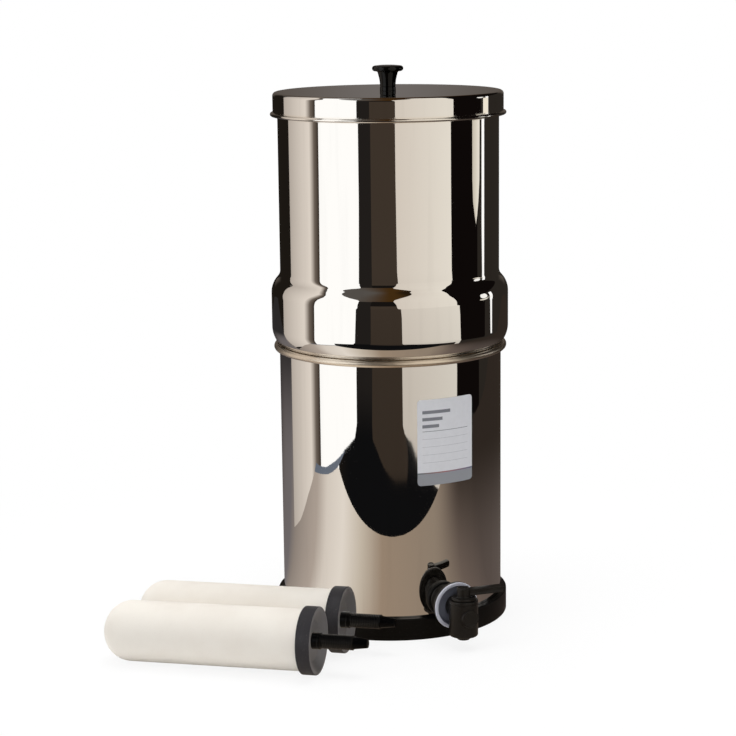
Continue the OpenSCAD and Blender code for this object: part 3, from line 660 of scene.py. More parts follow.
class Workshop:
    """Makes the meshes: it turns outlines, cuts slabs, carves and joins."""

    smooth_below = math.radians(35)
    weld = 0.000001
    groove_peak = 1.35
    groove_slope = 1.7

    def __init__(self) -> None:
        """Builds the Geometry Nodes tree that turns every round piece."""
        self.turning = self._turning_tree()

    def _turning_tree(self) -> bpy.types.NodeTree:
        """A tree that turns an outline's points into a closed surface with threads and knurls.

        Returns:
            The tree.
        """
        tree = bpy.data.node_groups.new("turning", "GeometryNodeTree")
        for name, kind in (
            ("Outline", "NodeSocketGeometry"),
            ("Sides", "NodeSocketInt"),
            ("Flutes", "NodeSocketInt"),
            ("Weld", "NodeSocketFloat"),
            ("Finish", "NodeSocketMaterial"),
        ):
            tree.interface.new_socket(name=name, in_out="INPUT", socket_type=kind)
        tree.interface.new_socket(name="Piece", in_out="OUTPUT", socket_type="NodeSocketGeometry")
        nodes = Nodes(tree)
        group = nodes.add("NodeGroupInput")
        outline, sides, flutes, weld, finish = (Value(nodes, out) for out in group.socket.node.outputs[:5])
        rows = nodes.add("GeometryNodeAttributeDomainSize", {0: outline}, "Point Count", component="MESH")
        grid = nodes.add("GeometryNodeMeshGrid",
                         {"Size X": 1.0, "Size Y": 1.0, "Vertices X": sides + 1, "Vertices Y": rows})
        across, along, _ = nodes.split(nodes.add("GeometryNodeInputPosition"))
        share = across + 0.5
        index = ((along + 0.5) * (rows - 1)).apply("ROUND")

        def sampled(value: Value) -> tuple[Value, Value, Value]:
            """The three parts of an outline attribute on this vertex's row."""
            picked = {"Geometry": outline, "Value": value, "Index": index}
            return nodes.split(nodes.add("GeometryNodeSampleIndex", picked, data_type="FLOAT_VECTOR"))

        radius, _, height = sampled(nodes.add("GeometryNodeInputPosition"))
        cut = nodes.add("GeometryNodeInputNamedAttribute", {"Name": "cut"}, data_type="FLOAT_VECTOR")
        depth, pitch, knurl = sampled(cut)
        phase = (height / pitch - share).apply("FRACT")
        groove = self.groove_peak - abs(phase * 2 - 1) * self.groove_slope
        groove = groove.apply("MAXIMUM", 0.0).apply("MINIMUM", 1.0)
        flute = 0.5 - (share * flutes * math.tau).apply("COSINE") * 0.5
        reach = radius - depth * groove - knurl * flute
        turn = share * math.tau
        spot = nodes.add("ShaderNodeCombineXYZ",
                         {0: reach * turn.apply("COSINE"), 1: reach * turn.apply("SINE"), 2: height})
        turned = nodes.add("GeometryNodeSetPosition", {"Geometry": grid, "Position": spot})
        closed = nodes.add("GeometryNodeMergeByDistance", {"Geometry": turned, "Distance": weld})
        real = nodes.add("GeometryNodeRealizeInstances", {"Geometry": closed})
        shown = nodes.add("GeometryNodeSetMaterial", {"Geometry": real, "Material": finish})
        nodes.show(shown, "NodeGroupOutput")
        return tree

    def turn(self, name: str, rows: Sequence[Row], finish: Finish, place: Matrix = Matrix(),
             sides: int = SIDES, flutes: int = 0) -> bpy.types.Object:
        """Turns an outline about its own Z axis.

        Args:
            name: The piece's name.
            rows: The outline in millimetres; it ends on the axis, or closes on itself.
            finish: The piece's finish.
            place: Moves the turned piece to where it belongs, in metres.
            sides: Number of faces round the piece.
            flutes: Number of flutes round a knurled stretch.

        Returns:
            The closed piece.
        """
        outline = bpy.data.meshes.new(name)
        outline.from_pydata([(row.r * MM, 0.0, row.z * MM) for row in rows], [], [])
        cut = outline.attributes.new("cut", "FLOAT_VECTOR", "POINT")
        for item, row in zip(cut.data, rows):
            item.vector = (row.thread_depth * MM, row.pitch * MM, row.knurl * MM)
        piece = add_object(name, outline)
        modifier = piece.modifiers.new("turning", "NODES")
        modifier.node_group = self.turning
        settings = {"Sides": sides, "Flutes": flutes, "Weld": self.weld, "Finish": finish.material()}
        for item in self.turning.interface.items_tree:
            if item.in_out == "INPUT" and item.name in settings:
                modifier[item.identifier] = settings[item.name]
        self._settle(piece)
        piece.data.transform(place)
        self.paint(piece, finish)
        return piece

    @staticmethod
    def paint(piece: bpy.types.Object, *finishes: Finish) -> None:
        """Gives a piece one material slot for each finish; its faces start on the first.

        Args:
            piece: The piece.
            finishes: The finishes, in the order of their slots.
        """
        piece.data.materials.clear()
        for finish in finishes:
            piece.data.materials.append(finish.material())
        piece.data.polygons.foreach_set("material_index", [0] * len(piece.data.polygons))

    def _settle(self, piece: bpy.types.Object) -> None:
        """Turns a piece's modifiers into its plain mesh, closed and with its faces outwards.

        Args:
            piece: The piece, which keeps its name.
        """
        evaluated = piece.evaluated_get(bpy.context.evaluated_depsgraph_get())
        mesh = bpy.data.meshes.new_from_object(evaluated)
        piece.modifiers.clear()
        piece.data = mesh
        shape = bmesh.new()
        shape.from_mesh(mesh)
        self.finish_shape(shape, mesh)

    def finish_shape(self, shape: bmesh.types.BMesh, mesh: bpy.types.Mesh) -> None:
        """Cleans a shape, turns its faces outwards and writes it to a mesh with its sharp edges.

        Args:
            shape: The shape, which is used up.
            mesh: The mesh that it fills.
        """
        bmesh.ops.remove_doubles(shape, verts=shape.verts, dist=self.weld)
        bmesh.ops.dissolve_degenerate(shape, edges=shape.edges, dist=self.weld)
        loose = [vert for vert in shape.verts if not vert.link_faces]
        bmesh.ops.delete(shape, geom=loose, context="VERTS")
        bmesh.ops.recalc_face_normals(shape, faces=shape.faces)
        shape.to_mesh(mesh)
        shape.free()
        mesh.shade_smooth()
        mesh.set_sharp_from_angle(angle=self.smooth_below)

    def solid(self, name: str, shape: bmesh.types.BMesh, finish: Finish,
              place: Matrix = Matrix()) -> bpy.types.Object:
        """Makes a piece of a shape that is drawn in millimetres, and moves it to its place.

        Args:
            name: The piece's name.
            shape: The shape, which is used up.
            finish: The piece's finish.
            place: Moves the piece, in metres.

        Returns:
            The piece.
        """
        bmesh.ops.scale(shape, vec=(MM, MM, MM), verts=shape.verts)
        mesh = bpy.data.meshes.new(name)
        self.finish_shape(shape, mesh)
        mesh.transform(place)
        mesh.materials.append(finish.material())
        return add_object(name, mesh)

    def slab(self, name: str, outline: Sequence[Point], low: float, high: float, finish: Finish,
             place: Matrix = Matrix(), bevel: float = 0.0, recess: float = 0.0) -> bpy.types.Object:
        """Makes a flat plate.

        Args:
            name: The piece's name.
            outline: The plate's corners in its own plane, in order.
            low: Height of its lower face.
            high: Height of its upper face.
            finish: The piece's finish.
            place: Moves the plate to where it belongs, in metres.
            bevel: Rounding of its edges.
            recess: Depth of a pocket in its upper and lower face, with a rim twice as wide.

        Returns:
            The plate.
        """
        shape = bmesh.new()
        floor = shape.faces.new([shape.verts.new((x, y, low)) for x, y in outline])
        raised = bmesh.ops.extrude_face_region(shape, geom=[floor])["geom"]
        roof_verts = [item for item in raised if isinstance(item, bmesh.types.BMVert)]
        bmesh.ops.translate(shape, vec=(0, 0, high - low), verts=roof_verts)
        roof = next(item for item in raised if isinstance(item, bmesh.types.BMFace))
        bmesh.ops.recalc_face_normals(shape, faces=shape.faces)
        if recess:
            for face in (floor, roof):
                bmesh.ops.inset_region(shape, faces=[face], thickness=2 * recess, use_even_offset=True)
                inwards = -face.normal * recess
                pocket = bmesh.ops.extrude_face_region(shape, geom=[face])["geom"]
                moved = [item for item in pocket if isinstance(item, bmesh.types.BMVert)]
                bmesh.ops.translate(shape, vec=inwards, verts=moved)
                bmesh.ops.delete(shape, geom=[face], context="FACES_ONLY")
        if bevel:
            sharp = [edge for edge in shape.edges if edge.calc_face_angle(0) > self.smooth_below]
            bmesh.ops.bevel(shape, geom=sharp, offset=bevel, segments=3, profile=0.5,
                            affect="EDGES", clamp_overlap=True)
        return self.solid(name, shape, finish, place)

    def carve(self, piece: bpy.types.Object, side: Side, *tools: bpy.types.Object) -> bpy.types.Object:
        """Unites a piece with tools, or cuts it by them; the tools are used up.

        Args:
            piece: The piece that is carved.
            side: What is kept.
            tools: The pieces that are added or taken away.

        Returns:
            The carved piece.
        """
        for tool in tools:
            modifier = piece.modifiers.new(tool.name, "BOOLEAN")
            modifier.operation = side.value
            modifier.solver = "EXACT"
            modifier.object = tool
        self._settle(piece)
        for tool in tools:
            bpy.data.objects.remove(tool)
        return piece

    def hex_nut(self, name: str, half_flats: float, hole: float, low: float, high: float,
                finish: Finish, place: Matrix) -> bpy.types.Object:
        """Makes a six-sided nut.

        Args:
            name: The piece's name.
            half_flats: Distance from the axis to a flat.
            hole: Radius of the hole.
            low: Height of its lower face.
            high: Height of its upper face.
            finish: The nut's finish.
            place: Moves the nut to where it belongs, in metres.

        Returns:
            The nut, with its corners rounded off at both ends.
        """
        reach = half_flats / math.cos(math.radians(30))
        turns = [math.radians(30 + 60 * i) for i in range(6)]
        corners = [(reach * math.cos(turn), reach * math.sin(turn)) for turn in turns]
        nut = self.slab(name, corners, low, high, finish, place, bevel=0.35)
        slope = (reach - half_flats) * 0.6
        barrel = supported(rounded(
            (hole, low, 0.4), (half_flats, low, 0), (reach, low + slope, 0), (reach, high - slope, 0),
            (half_flats, high, 0), (hole, high, 0.4), closed=True))
        return self.carve(nut, Side.INTERSECT, self.turn("nut_tool", barrel, finish, place, NARROW_SIDES))

    def join(self, piece: bpy.types.Object, *others: bpy.types.Object) -> bpy.types.Object:
        """Puts other pieces' closed shells into one piece; the others are used up.

        Args:
            piece: The piece that takes the others in.
            others: The other pieces.

        Returns:
            The joined piece.
        """
        shape = bmesh.new()
        for part in (piece, *others):
            shape.from_mesh(part.data)
        shape.to_mesh(piece.data)
        shape.free()
        piece.data.set_sharp_from_angle(angle=self.smooth_below)
        for other in others:
            bpy.data.objects.remove(other)
        return piece


def dress(piece: bpy.types.Object, body: str, finish: Finish, *nodes: str) -> bpy.types.Object:
    """Hands a finished piece to the frame.

    Args:
        piece: The piece, in place.
        body: The body that it rides on.
        finish: Not used.
        nodes: The CAD nodes that it stands for.

    Returns:
        The piece.
    """
    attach(piece, body)
    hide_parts(*nodes)
    log.info("%s: %d faces on %s", piece.name, len(piece.data.polygons), body)
    return piece


def dress_node(node: str, finish: Finish) -> None:
    """Gives a CAD node that stays in view its finish.

    Args:
        node: The CAD node.
        finish: Its finish.
    """
    slots = frame["nodes"][node].material_slots
    for slot in slots:
        slot.material = finish.material()
    log.info("%s: CAD node in %s", node, finish.name)


def low_mm(node: str) -> Vector:
    """The lowest corner of a CAD node, in millimetres."""
    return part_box(node)[0] / MM


def high_mm(node: str) -> Vector:
    """The highest corner of a CAD node, in millimetres."""
    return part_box(node)[1] / MM


def middle_mm(node: str) -> Vector:
    """The middle of a CAD node's box, in millimetres."""
    return (low_mm(node) + high_mm(node)) / 2


def span_mm(node: str) -> tuple[float, float]:
    """The lowest and highest level of a CAD node, in millimetres."""
    return low_mm(node).z, high_mm(node).z


@dataclass
class Assembly(ABC):
    """A sub-assembly: the workshop that makes its meshes, and its sizes in millimetres."""

    shop: Workshop

    @abstractmethod
    def build(self) -> None:
        """Makes the pieces and hands them to the frame."""

    def dress_turned(self, node: str, body: str, outline: Sequence[Point], finish: Finish,
                     place: Matrix = Matrix(), sides: int = SIDES) -> None:
        """Turns an outline into the piece that stands for one CAD node, and dresses it.

        Args:
            node: The CAD node.
            body: The body that the piece rides on.
            outline: The outline in millimetres; it ends on the axis, or closes on itself.
            finish: The piece's finish.
            place: Moves the turned piece to where it belongs, in metres.
            sides: Number of faces round the piece.
        """
        piece = self.shop.turn(f"{node}_dressed", supported(outline), finish, place, sides)
        dress(piece, body, finish, node)


# ---- Lower half ----


@dataclass
class BaseRing(Assembly):
    """The rubber ring that the lower chamber stands in."""

    wall: float = 5.0
    foot_width: float = 18.1
    foot_height: float = 3.0
    edge: float = 0.9
    lip: float = 0.5
    grooves: int = 3
    groove_depth: float = 0.6
    groove_start: float = 3.2
    groove_pitch: float = 4.2

    def build(self) -> None:
        """Turns the ring, with grip grooves in its underside."""
        out, top = high_mm("base_ring").x, high_mm("base_ring").z
        inner, foot = out - self.wall, out - self.foot_width
        grooves = []
        for i in range(self.grooves):
            start = foot + self.groove_start + self.groove_pitch * i
            for across, depth in ((0, 0), (0.4, self.groove_depth), (1.4, self.groove_depth), (1.8, 0)):
                grooves.append((start + across, depth, 0.2))
        outline = rounded(
            (foot, 0, self.lip), *grooves, (out, 0, self.edge), (out, top, self.edge),
            (inner, top, self.lip), (inner, self.foot_height, 0.3), (foot, self.foot_height, self.lip),
            closed=True,
        )
        self.dress_turned("base_ring", "filter", outline, BASE_RUBBER, sides=WIDE_SIDES)


@dataclass
class LowerChamber(Assembly):
    """The pressed lower chamber and the label on its wall."""

    sheet: float = 0.8
    wall: float = 98.9
    corner: float = 5.0
    floor_rim: float = 16.0
    floor_rise: float = 3.0
    floor_slope: float = 6.0
    bead: float = 2.9
    label_turn: float = 29.1
    label_width: float = 55.0
    label_corner: float = 3.0
    label_gap: float = 0.02
    label_thickness: float = 0.35
    label_columns: int = 48
    label_corner_steps: int = 6

    def floor(self, inset: float) -> list[Point]:
        """The floor and its corner, drawn inset from the outer face.

        Args:
            inset: Distance from the outer face.

        Returns:
            The points, from the axis outwards.
        """
        bottom = low_mm("lower_chamber").z
        slope_r = self.wall - self.corner - self.floor_rim
        rise = bottom + self.floor_rise + inset
        stretch = rounded((0, rise, 0), (slope_r - self.floor_slope, rise, 3.0),
                          (slope_r, bottom + inset, 3.0), (self.wall - self.corner, bottom + inset, 0))
        return stretch + arc(self.wall - self.corner, bottom + self.corner, self.corner - inset, -90, 0)[1:]

    def build(self) -> None:
        """Turns the chamber and bends the label."""
        bead_z = high_mm("lower_chamber").z - self.bead
        bead_r = self.wall - self.sheet + self.bead
        join = math.degrees(math.acos((self.wall - bead_r) / self.bead))
        outline = self.floor(0) + arc(bead_r, bead_z, self.bead, -join, 180) + self.floor(self.sheet)[::-1]
        self.dress_turned("lower_chamber", "filter", outline, STEEL, sides=WIDE_SIDES)
        self.build_label()

    def build_label(self) -> None:
        """Bends a sheet with rounded corners round the wall, and gives it its map."""
        low, high = span_mm("label")
        middle, half_h, half_w = (low + high) / 2, (high - low) / 2, self.label_width / 2
        straight = half_w - self.label_corner
        corner = [straight + self.label_corner * math.sin(math.pi / 2 * i / self.label_corner_steps)
                  for i in range(self.label_corner_steps + 1)]
        flat = [straight * (2 * i / self.label_columns - 1) for i in range(1, self.label_columns)]
        stations = [-s for s in reversed(corner)] + flat + corner
        shape = bmesh.new()
        uv = shape.loops.layers.uv.new("label_map")
        sides = []
        for r in (self.wall + self.label_gap, self.wall + self.label_gap + self.label_thickness):
            edges = []
            for s in stations:
                past = max(0.0, abs(s) - straight)
                reach = half_h - self.label_corner + math.sqrt(max(0.0, self.label_corner**2 - past**2))
                out = heading(self.label_turn + math.degrees(s / self.wall)) * r
                edges.append([shape.verts.new((out.x, out.y, middle + z)) for z in (-reach, reach)])
            sides.append(edges)
        inner, outer = sides
        for i in range(len(stations) - 1):
            shape.faces.new((outer[i][0], outer[i + 1][0], outer[i + 1][1], outer[i][1]))
            shape.faces.new((inner[i][0], inner[i][1], inner[i + 1][1], inner[i + 1][0]))
            for end in (0, 1):
                shape.faces.new((inner[i][end], inner[i + 1][end], outer[i + 1][end], outer[i][end]))
        for i in (0, -1):
            shape.faces.new((inner[i][0], inner[i][1], outer[i][1], outer[i][0]))
        for face in shape.faces:
            for loop in face.loops:
                x, y, z = loop.vert.co
                turn = math.degrees(math.atan2(x, -y)) - self.label_turn
                across = math.radians(turn) * self.wall / self.label_width + 0.5
                loop[uv].uv = (across, (z - low) / (high - low))
        dress(self.shop.solid("label_dressed", shape, LABEL_FILM), "filter", LABEL_FILM, "label")


# ---- Tap ----


@dataclass
class Tap(Assembly):
    """The lever tap: threaded body, washers, nut, plug and lever."""

    turn: float = 26.0
    level: float = 34.5
    wall: float = 98.9
    sheet: float = 0.8
    waterway: float = 4.2
    fine_r: float = 10.0
    fine_start: float = 82.1
    coarse_r: float = 13.0
    coarse_start: float = 101.9
    cup_back: float = 120.9
    cup_floor: float = 123.5
    cup_front: float = 125.9
    cup_r: float = 20.5
    cup_recess_r: float = 17.2
    cup_rim: float = 2.2
    lip_back: float = 122.7
    neck_r: float = 9.5
    washer_r: float = 15.0
    barrel_x: float = 138.5
    barrel_r: float = 12.5
    barrel_low: float = 11.9
    barrel_top: float = 43.8
    barrel_floor: float = 15.9
    seam_drop: float = 2.4
    seam_depth: float = 0.25
    bore_r: float = 9.0
    recess_r: float = 11.2
    recess_z: float = 41.6
    nozzle_low: float = 8.4
    nozzle_r: float = 5.5
    outlet_r: float = 4.0
    pad_r: float = 7.8
    pad_level: float = 29.5
    pad_front: float = 152.0
    nut_flats: float = 14.0
    nut_start: float = 88.45
    nut_end: float = 95.45
    lever_closed: float = 84.0
    lever_length: float = 36.5
    lever_width: float = 7.4
    lever_low: float = 47.3
    lever_high: float = 52.8
    boss_r: float = 7.0
    hub_r: float = 5.8
    hub_top: float = 54.2
    skirt_r: float = 10.8
    skirt_low: float = 43.9
    skirt_high: float = 46.3
    lever_corner: float = 1.4
    lever_pocket: float = 0.55
    fine_thread: tuple[float, float] = (0.7, 1.5)
    coarse_thread: tuple[float, float] = (0.85, 2.1)
    play: float = 0.1

    @property
    def facing(self) -> Matrix:
        """Turns +X to the tap's direction."""
        return spin(self.turn - 90)

    @property
    def along(self) -> Matrix:
        """Lays a piece's own axis along the tap's axis, with its heights as distances out."""
        return self.facing @ at_mm(0, 0, self.level) @ spin(90, "Y")

    @property
    def upright(self) -> Matrix:
        """Stands a piece on the barrel's axis, with +X outwards."""
        return self.facing @ at_mm(self.barrel_x, 0, 0)

    @property
    def valve(self) -> Matrix:
        """Stands a piece on the barrel's axis, with +X along the closed lever."""
        return self.upright @ spin(self.lever_closed)

    def build(self) -> None:
        """Builds the tap from the wall outwards, then its valve."""
        self.build_body()
        self.build_cup()
        self.build_washers()
        self.build_nut()
        self.build_plug()
        self.build_lever()

    def cylinder(self, r: float, low: float, high: float, place: Matrix) -> bpy.types.Object:
        """A plain round tool for carving."""
        outline = [Row(0, low), Row(r, low), Row(r, high), Row(0, high)]
        return self.shop.turn("tool", outline, TAP_PLASTIC, place, NARROW_SIDES)

    def build_body(self) -> None:
        """Turns shank and barrel, unites barrel and neck, and bores them."""
        shank = (
            [Row(self.waterway, self.fine_start), Row(self.fine_r - 0.8, self.fine_start)]
            + threaded(self.fine_r, self.fine_start + 0.8, self.coarse_start - 0.3, *self.fine_thread)
            + [Row(self.coarse_r - 1.0, self.coarse_start)]
            + threaded(self.coarse_r, self.coarse_start + 0.6, self.lip_back - 0.4, *self.coarse_thread)
            + [Row(self.coarse_r, self.lip_back), Row(self.waterway, self.lip_back)]
            + [Row(self.waterway, self.fine_start)]
        )
        threads = self.shop.turn("tap_body_dressed", shank, TAP_PLASTIC, self.along, NARROW_SIDES)
        neck = supported(rounded(
            (0, self.lip_back - 0.2, 0), (self.neck_r, self.lip_back - 0.2, 0),
            (self.neck_r, self.barrel_x, 0), (0, self.barrel_x, 0)))
        seam, seam_r = self.barrel_top - self.seam_drop, self.barrel_r - self.seam_depth
        barrel = supported(rounded(
            (0, self.nozzle_low, 0), (self.nozzle_r, self.nozzle_low, 0.6),
            (self.nozzle_r, self.barrel_low, 0.8), (self.barrel_r, self.barrel_low, 1.5),
            (self.barrel_r, seam - 1.0, 0), (seam_r, seam - 0.7, 0), (seam_r, seam - 0.3, 0),
            (self.barrel_r, seam, 0), (self.barrel_r, self.barrel_top, 0.5), (0, self.barrel_top, 0)))
        pad_place = self.facing @ at_mm(0, 0, self.pad_level) @ spin(90, "Y")
        pad = supported(rounded(
            (0, self.barrel_x + self.bore_r + 1, 0), (self.pad_r, self.barrel_x + self.bore_r + 1, 0),
            (self.pad_r, self.pad_front, 0.5), (self.pad_r - 1.6, self.pad_front, 0.2),
            (self.pad_r - 1.9, self.pad_front - 0.3, 0.2), (0, self.pad_front - 0.3, 0)))
        bore = [Row(0, self.barrel_floor), Row(self.bore_r, self.barrel_floor),
                Row(self.bore_r, self.recess_z), Row(self.recess_r, self.recess_z),
                Row(self.recess_r, self.barrel_top + 1), Row(0, self.barrel_top + 1)]
        head, tap_neck, tap_pad, tap_bore = (
            self.shop.turn(name, rows, TAP_PLASTIC, place, NARROW_SIDES) for name, rows, place in (
                ("tap_head", barrel, self.upright), ("tap_neck", neck, self.along),
                ("tap_pad", pad, pad_place), ("tap_bore", bore, self.upright)))
        outlet = self.cylinder(self.outlet_r, self.nozzle_low - 1, self.barrel_floor + 1, self.upright)
        waterway = self.cylinder(self.waterway, self.lip_back - 2, self.barrel_x, self.along)
        self.shop.carve(head, Side.UNION, tap_neck, tap_pad)
        self.shop.carve(head, Side.DIFFERENCE, tap_bore, outlet, waterway)
        dress(self.shop.join(threads, head), "filter", TAP_PLASTIC, "tap_body")

    def build_cup(self) -> None:
        """Turns the cup washer, and gives its recess floor and its back, which faces the wall, darker copies
        of the silicone as painted shade.
        """
        bore, lip, lip_low = self.coarse_r + self.play, self.neck_r + self.play, self.lip_back + 0.05
        cup = rounded(
            (bore, self.cup_back, 0.3), (self.cup_r, self.cup_back, 1.4), (self.cup_r, self.cup_front, 1.1),
            (self.cup_recess_r, self.cup_front, 0.9), (self.cup_recess_r - 0.5, self.cup_floor, 0.5),
            (lip, self.cup_floor, 0.1), (lip, lip_low, 0.1), (bore, lip_low, 0), closed=True)
        piece = self.shop.turn("tap_cup_washer_dressed", supported(cup), SILICONE, self.along)
        self.shop.paint(piece, SILICONE, SILICONE_RECESS_PAINTED_SHADE, SILICONE_BACK_PAINTED_SHADE)
        out, level = heading(self.turn), Vector((0, 0, self.level * MM))
        for face in piece.data.polygons:
            along = face.center.dot(out)
            distance, radius = along / MM, (face.center - out * along - level).length / MM
            # Faces in the recess floor take the darker silicone: painted shade in the recess.
            if radius < self.cup_recess_r + 0.6 and distance > self.cup_floor - 0.3:
                face.material_index = 1
            # Faces behind the front rim take the near-black silicone: painted shade on the back.
            elif distance < self.cup_front - self.cup_rim:
                face.material_index = 2
        dress(piece, "filter", SILICONE, "tap_cup_washer")

    def build_washers(self) -> None:
        """Turns the two rubber washers that lie on the curved wall."""
        bore, start, end = self.fine_r + self.play, self.wall - self.sheet * 4, self.coarse_start
        outer = rounded(
            (bore, start, 0), (self.washer_r, start, 0), (self.washer_r, end, 0.9),
            (self.washer_r - 2.0, end, 0.2), (self.washer_r - 2.4, end - 0.4, 0.2), (bore, end - 0.4, 0),
            closed=True)
        inner = rounded(
            (bore, self.nut_end, 0), (self.washer_r, self.nut_end, 0.4), (self.washer_r, self.wall, 0),
            (bore, self.wall, 0), closed=True)
        for node, outline, sides, side, wall in (
            ("tap_outer_washer", outer, SIDES, Side.DIFFERENCE, self.wall + 0.05),
            ("tap_inner_washer", inner, NARROW_SIDES, Side.INTERSECT, self.wall - self.sheet - 0.05),
        ):
            washer = self.shop.turn(f"{node}_dressed", supported(outline), SEAL_RUBBER, self.along, sides)
            self.shop.carve(washer, side, self.cylinder(wall, 0, 2 * self.level, Matrix()))
            dress(washer, "filter", SEAL_RUBBER, node)

    def build_nut(self) -> None:
        """Makes the back nut inside the wall."""
        nut = self.shop.hex_nut("tap_back_nut_dressed", self.nut_flats, self.fine_r + self.play,
                                self.nut_start, self.nut_end, TAP_PLASTIC, self.along)
        dress(nut, "filter", TAP_PLASTIC, "tap_back_nut")

    def build_plug(self) -> None:
        """Keeps the hidden valve's CAD pieces, and turns the ring that holds the plug down."""
        for node, finish in (("tap_plug", TAP_PLASTIC), ("tap_plug_orings", SEAL_RUBBER)):
            dress_node(node, finish)
        outline = ring(self.recess_r - 4.0, self.recess_r - 0.05, *span_mm("tap_retaining_ring"), 0.2, 0.2)
        self.dress_turned("tap_retaining_ring", "filter", outline, TAP_PLASTIC, self.upright, NARROW_SIDES)

    def build_lever(self) -> None:
        """Turns the hub with its skirt, and unites it with the pocketed bar."""
        boss_low = low_mm("tap_lever").z
        hub = supported(rounded(
            (0, boss_low, 0), (self.boss_r, boss_low, 0.3), (self.boss_r, self.skirt_low, 0.2),
            (self.skirt_r, self.skirt_low, 0.3), (self.skirt_r, self.skirt_high, 0.7),
            (self.hub_r, self.skirt_high, 0.8), (self.hub_r, self.hub_top, 0.7),
            (self.hub_r - 1.5, self.hub_top, 0.2), (self.hub_r - 1.9, self.hub_top - 0.4, 0.2),
            (0, self.hub_top - 0.4, 0)))
        lever = self.shop.turn("tap_lever_dressed", hub, TAP_PLASTIC, self.valve, NARROW_SIDES)
        half, end, corner = self.lever_width / 2, self.lever_length, self.lever_corner
        profile = [(1.0, self.lever_low), (end - corner, self.lever_low), (end, self.lever_low + corner),
                   (end, self.lever_high - corner), (end - corner, self.lever_high), (1.0, self.lever_high)]
        bar = self.shop.slab("tap_bar", profile, -half, half, TAP_PLASTIC, self.valve @ spin(90, "X"),
                             bevel=0.5, recess=self.lever_pocket)
        self.shop.carve(lever, Side.UNION, bar)
        dress(lever, "tap_valve", TAP_PLASTIC, "tap_lever")


# ---- Upper half ----


@dataclass
class UpperChamber(Assembly):
    """The pressed upper chamber and the plugs in its two spare holes."""

    sheet: float = 0.8
    spigot: float = 97.3
    corner: float = 5.0
    seat_curve: float = 23.0
    bulge: float = 105.4
    bulge_height: float = 30.0
    step: float = 8.0
    shoulder_height: float = 20.0
    shoulder_hollow: float = 10.0
    bead: float = 1.2
    lower_bead: float = 2.9
    lower_bead_r: float = 101.0
    seat_gap: float = 0.2
    plug_turns: tuple[float, float] = (45.0, 225.0)
    plug_flange: float = 14.0
    plug_flange_height: float = 4.0
    plug_grip: float = 7.0
    plug_flutes: int = 24
    plug_washer: float = 12.5
    plug_nut_flats: float = 10.0
    plug_thread: tuple[float, float] = (0.6, 1.5)
    hole_circle: float = 52.0
    shank: float = 6.2

    def wall(self, inset: float) -> list[Point]:
        """The wall from the spigot's corner to the shoulder's top, drawn inset from the outer face.

        Args:
            inset: Distance from the outer face.

        Returns:
            The points, from the foot up.
        """
        bottom = low_mm("upper_chamber").z
        seat_r = self.bulge - self.seat_curve
        reach = self.seat_curve + self.lower_bead + self.seat_gap
        rim_z = high_mm("lower_chamber").z - self.lower_bead
        seat_z = rim_z + math.sqrt(reach**2 - (self.lower_bead_r - seat_r) ** 2)
        start = math.degrees(math.acos((self.spigot - inset - seat_r) / (self.seat_curve - inset)))
        angle = 2 * math.degrees(math.atan(self.step / self.shoulder_height))
        round_r = self.shoulder_height / math.sin(math.radians(angle)) - self.shoulder_hollow
        bulge_top = seat_z + self.bulge_height
        hollow_r, hollow_z = self.bulge - self.step + self.shoulder_hollow, bulge_top + self.shoulder_height
        return (
            arc(self.spigot - self.corner, bottom + self.corner, self.corner - inset, -90, 0)
            + arc(seat_r, seat_z, self.seat_curve - inset, -start, 0, 3.0)
            + arc(self.bulge - round_r, bulge_top, round_r - inset, 0, angle, 3.0)
            + arc(hollow_r, hollow_z, self.shoulder_hollow + inset, 180 + angle, 180, 4.0)[1:]
        )

    def build(self) -> None:
        """Turns the chamber and makes its plugs."""
        bottom, top = span_mm("upper_chamber")
        wall_r = self.bulge - self.step
        bead_r, bead_z = wall_r - self.sheet + self.bead, top - self.bead
        join = math.degrees(math.acos((wall_r - bead_r) / self.bead))
        outline = ([(0, bottom)] + self.wall(0) + arc(bead_r, bead_z, self.bead, -join, 180)
                   + self.wall(self.sheet)[::-1] + [(0, bottom + self.sheet)])
        self.dress_turned("upper_chamber", "upper", outline, STEEL, sides=WIDE_SIDES)
        self.build_plugs()

    def build_plugs(self) -> None:
        """Makes the blanking plugs, their washers and their nuts, a piece of each kind."""
        low, high = span_mm("blanking_plugs")
        washer_low, washer_high = span_mm("blanking_washers")
        hole, flange, grip = self.shank + 0.1, self.plug_flange, self.plug_grip
        flange_top = washer_high + self.plug_flange_height
        plug = (
            [Row(0, low), Row(self.shank - 0.8, low)]
            + threaded(self.shank, low + 0.8, washer_high - 0.4, *self.plug_thread)
            + supported(rounded((self.shank, washer_high, 0), (flange, washer_high, 0.6),
                                (flange, flange_top, 1.0), (grip, flange_top, 0.8),
                                (grip, flange_top + 0.9, 0)))
            + knurled(grip, flange_top + 0.9, high - 0.9, 0.5)
            + supported(rounded((grip, high - 0.9, 0), (grip, high, 0.8), (0, high, 0)))
        )
        washer = supported(ring(hole, self.plug_washer, washer_low, washer_high, 0.3, 0.4))
        sets = []
        for turn in self.plug_turns:
            place = spin(turn) @ at_mm(self.hole_circle, 0, 0)
            sets.append((
                self.shop.turn("blanking_plugs_dressed", plug, KNOB_PLASTIC, place, NARROW_SIDES,
                               self.plug_flutes),
                self.shop.turn("blanking_washers_dressed", washer, SEAL_RUBBER, place, NARROW_SIDES),
                self.shop.hex_nut("blanking_nuts_dressed", self.plug_nut_flats, hole,
                                  *span_mm("blanking_nuts"), KNOB_PLASTIC, place)))
        finishes = {"blanking_plugs": KNOB_PLASTIC, "blanking_washers": SEAL_RUBBER,
                    "blanking_nuts": KNOB_PLASTIC}
        for (node, finish), (first, *rest) in zip(finishes.items(), zip(*sets)):
            dress(self.shop.join(first, *rest), "upper", finish, node)


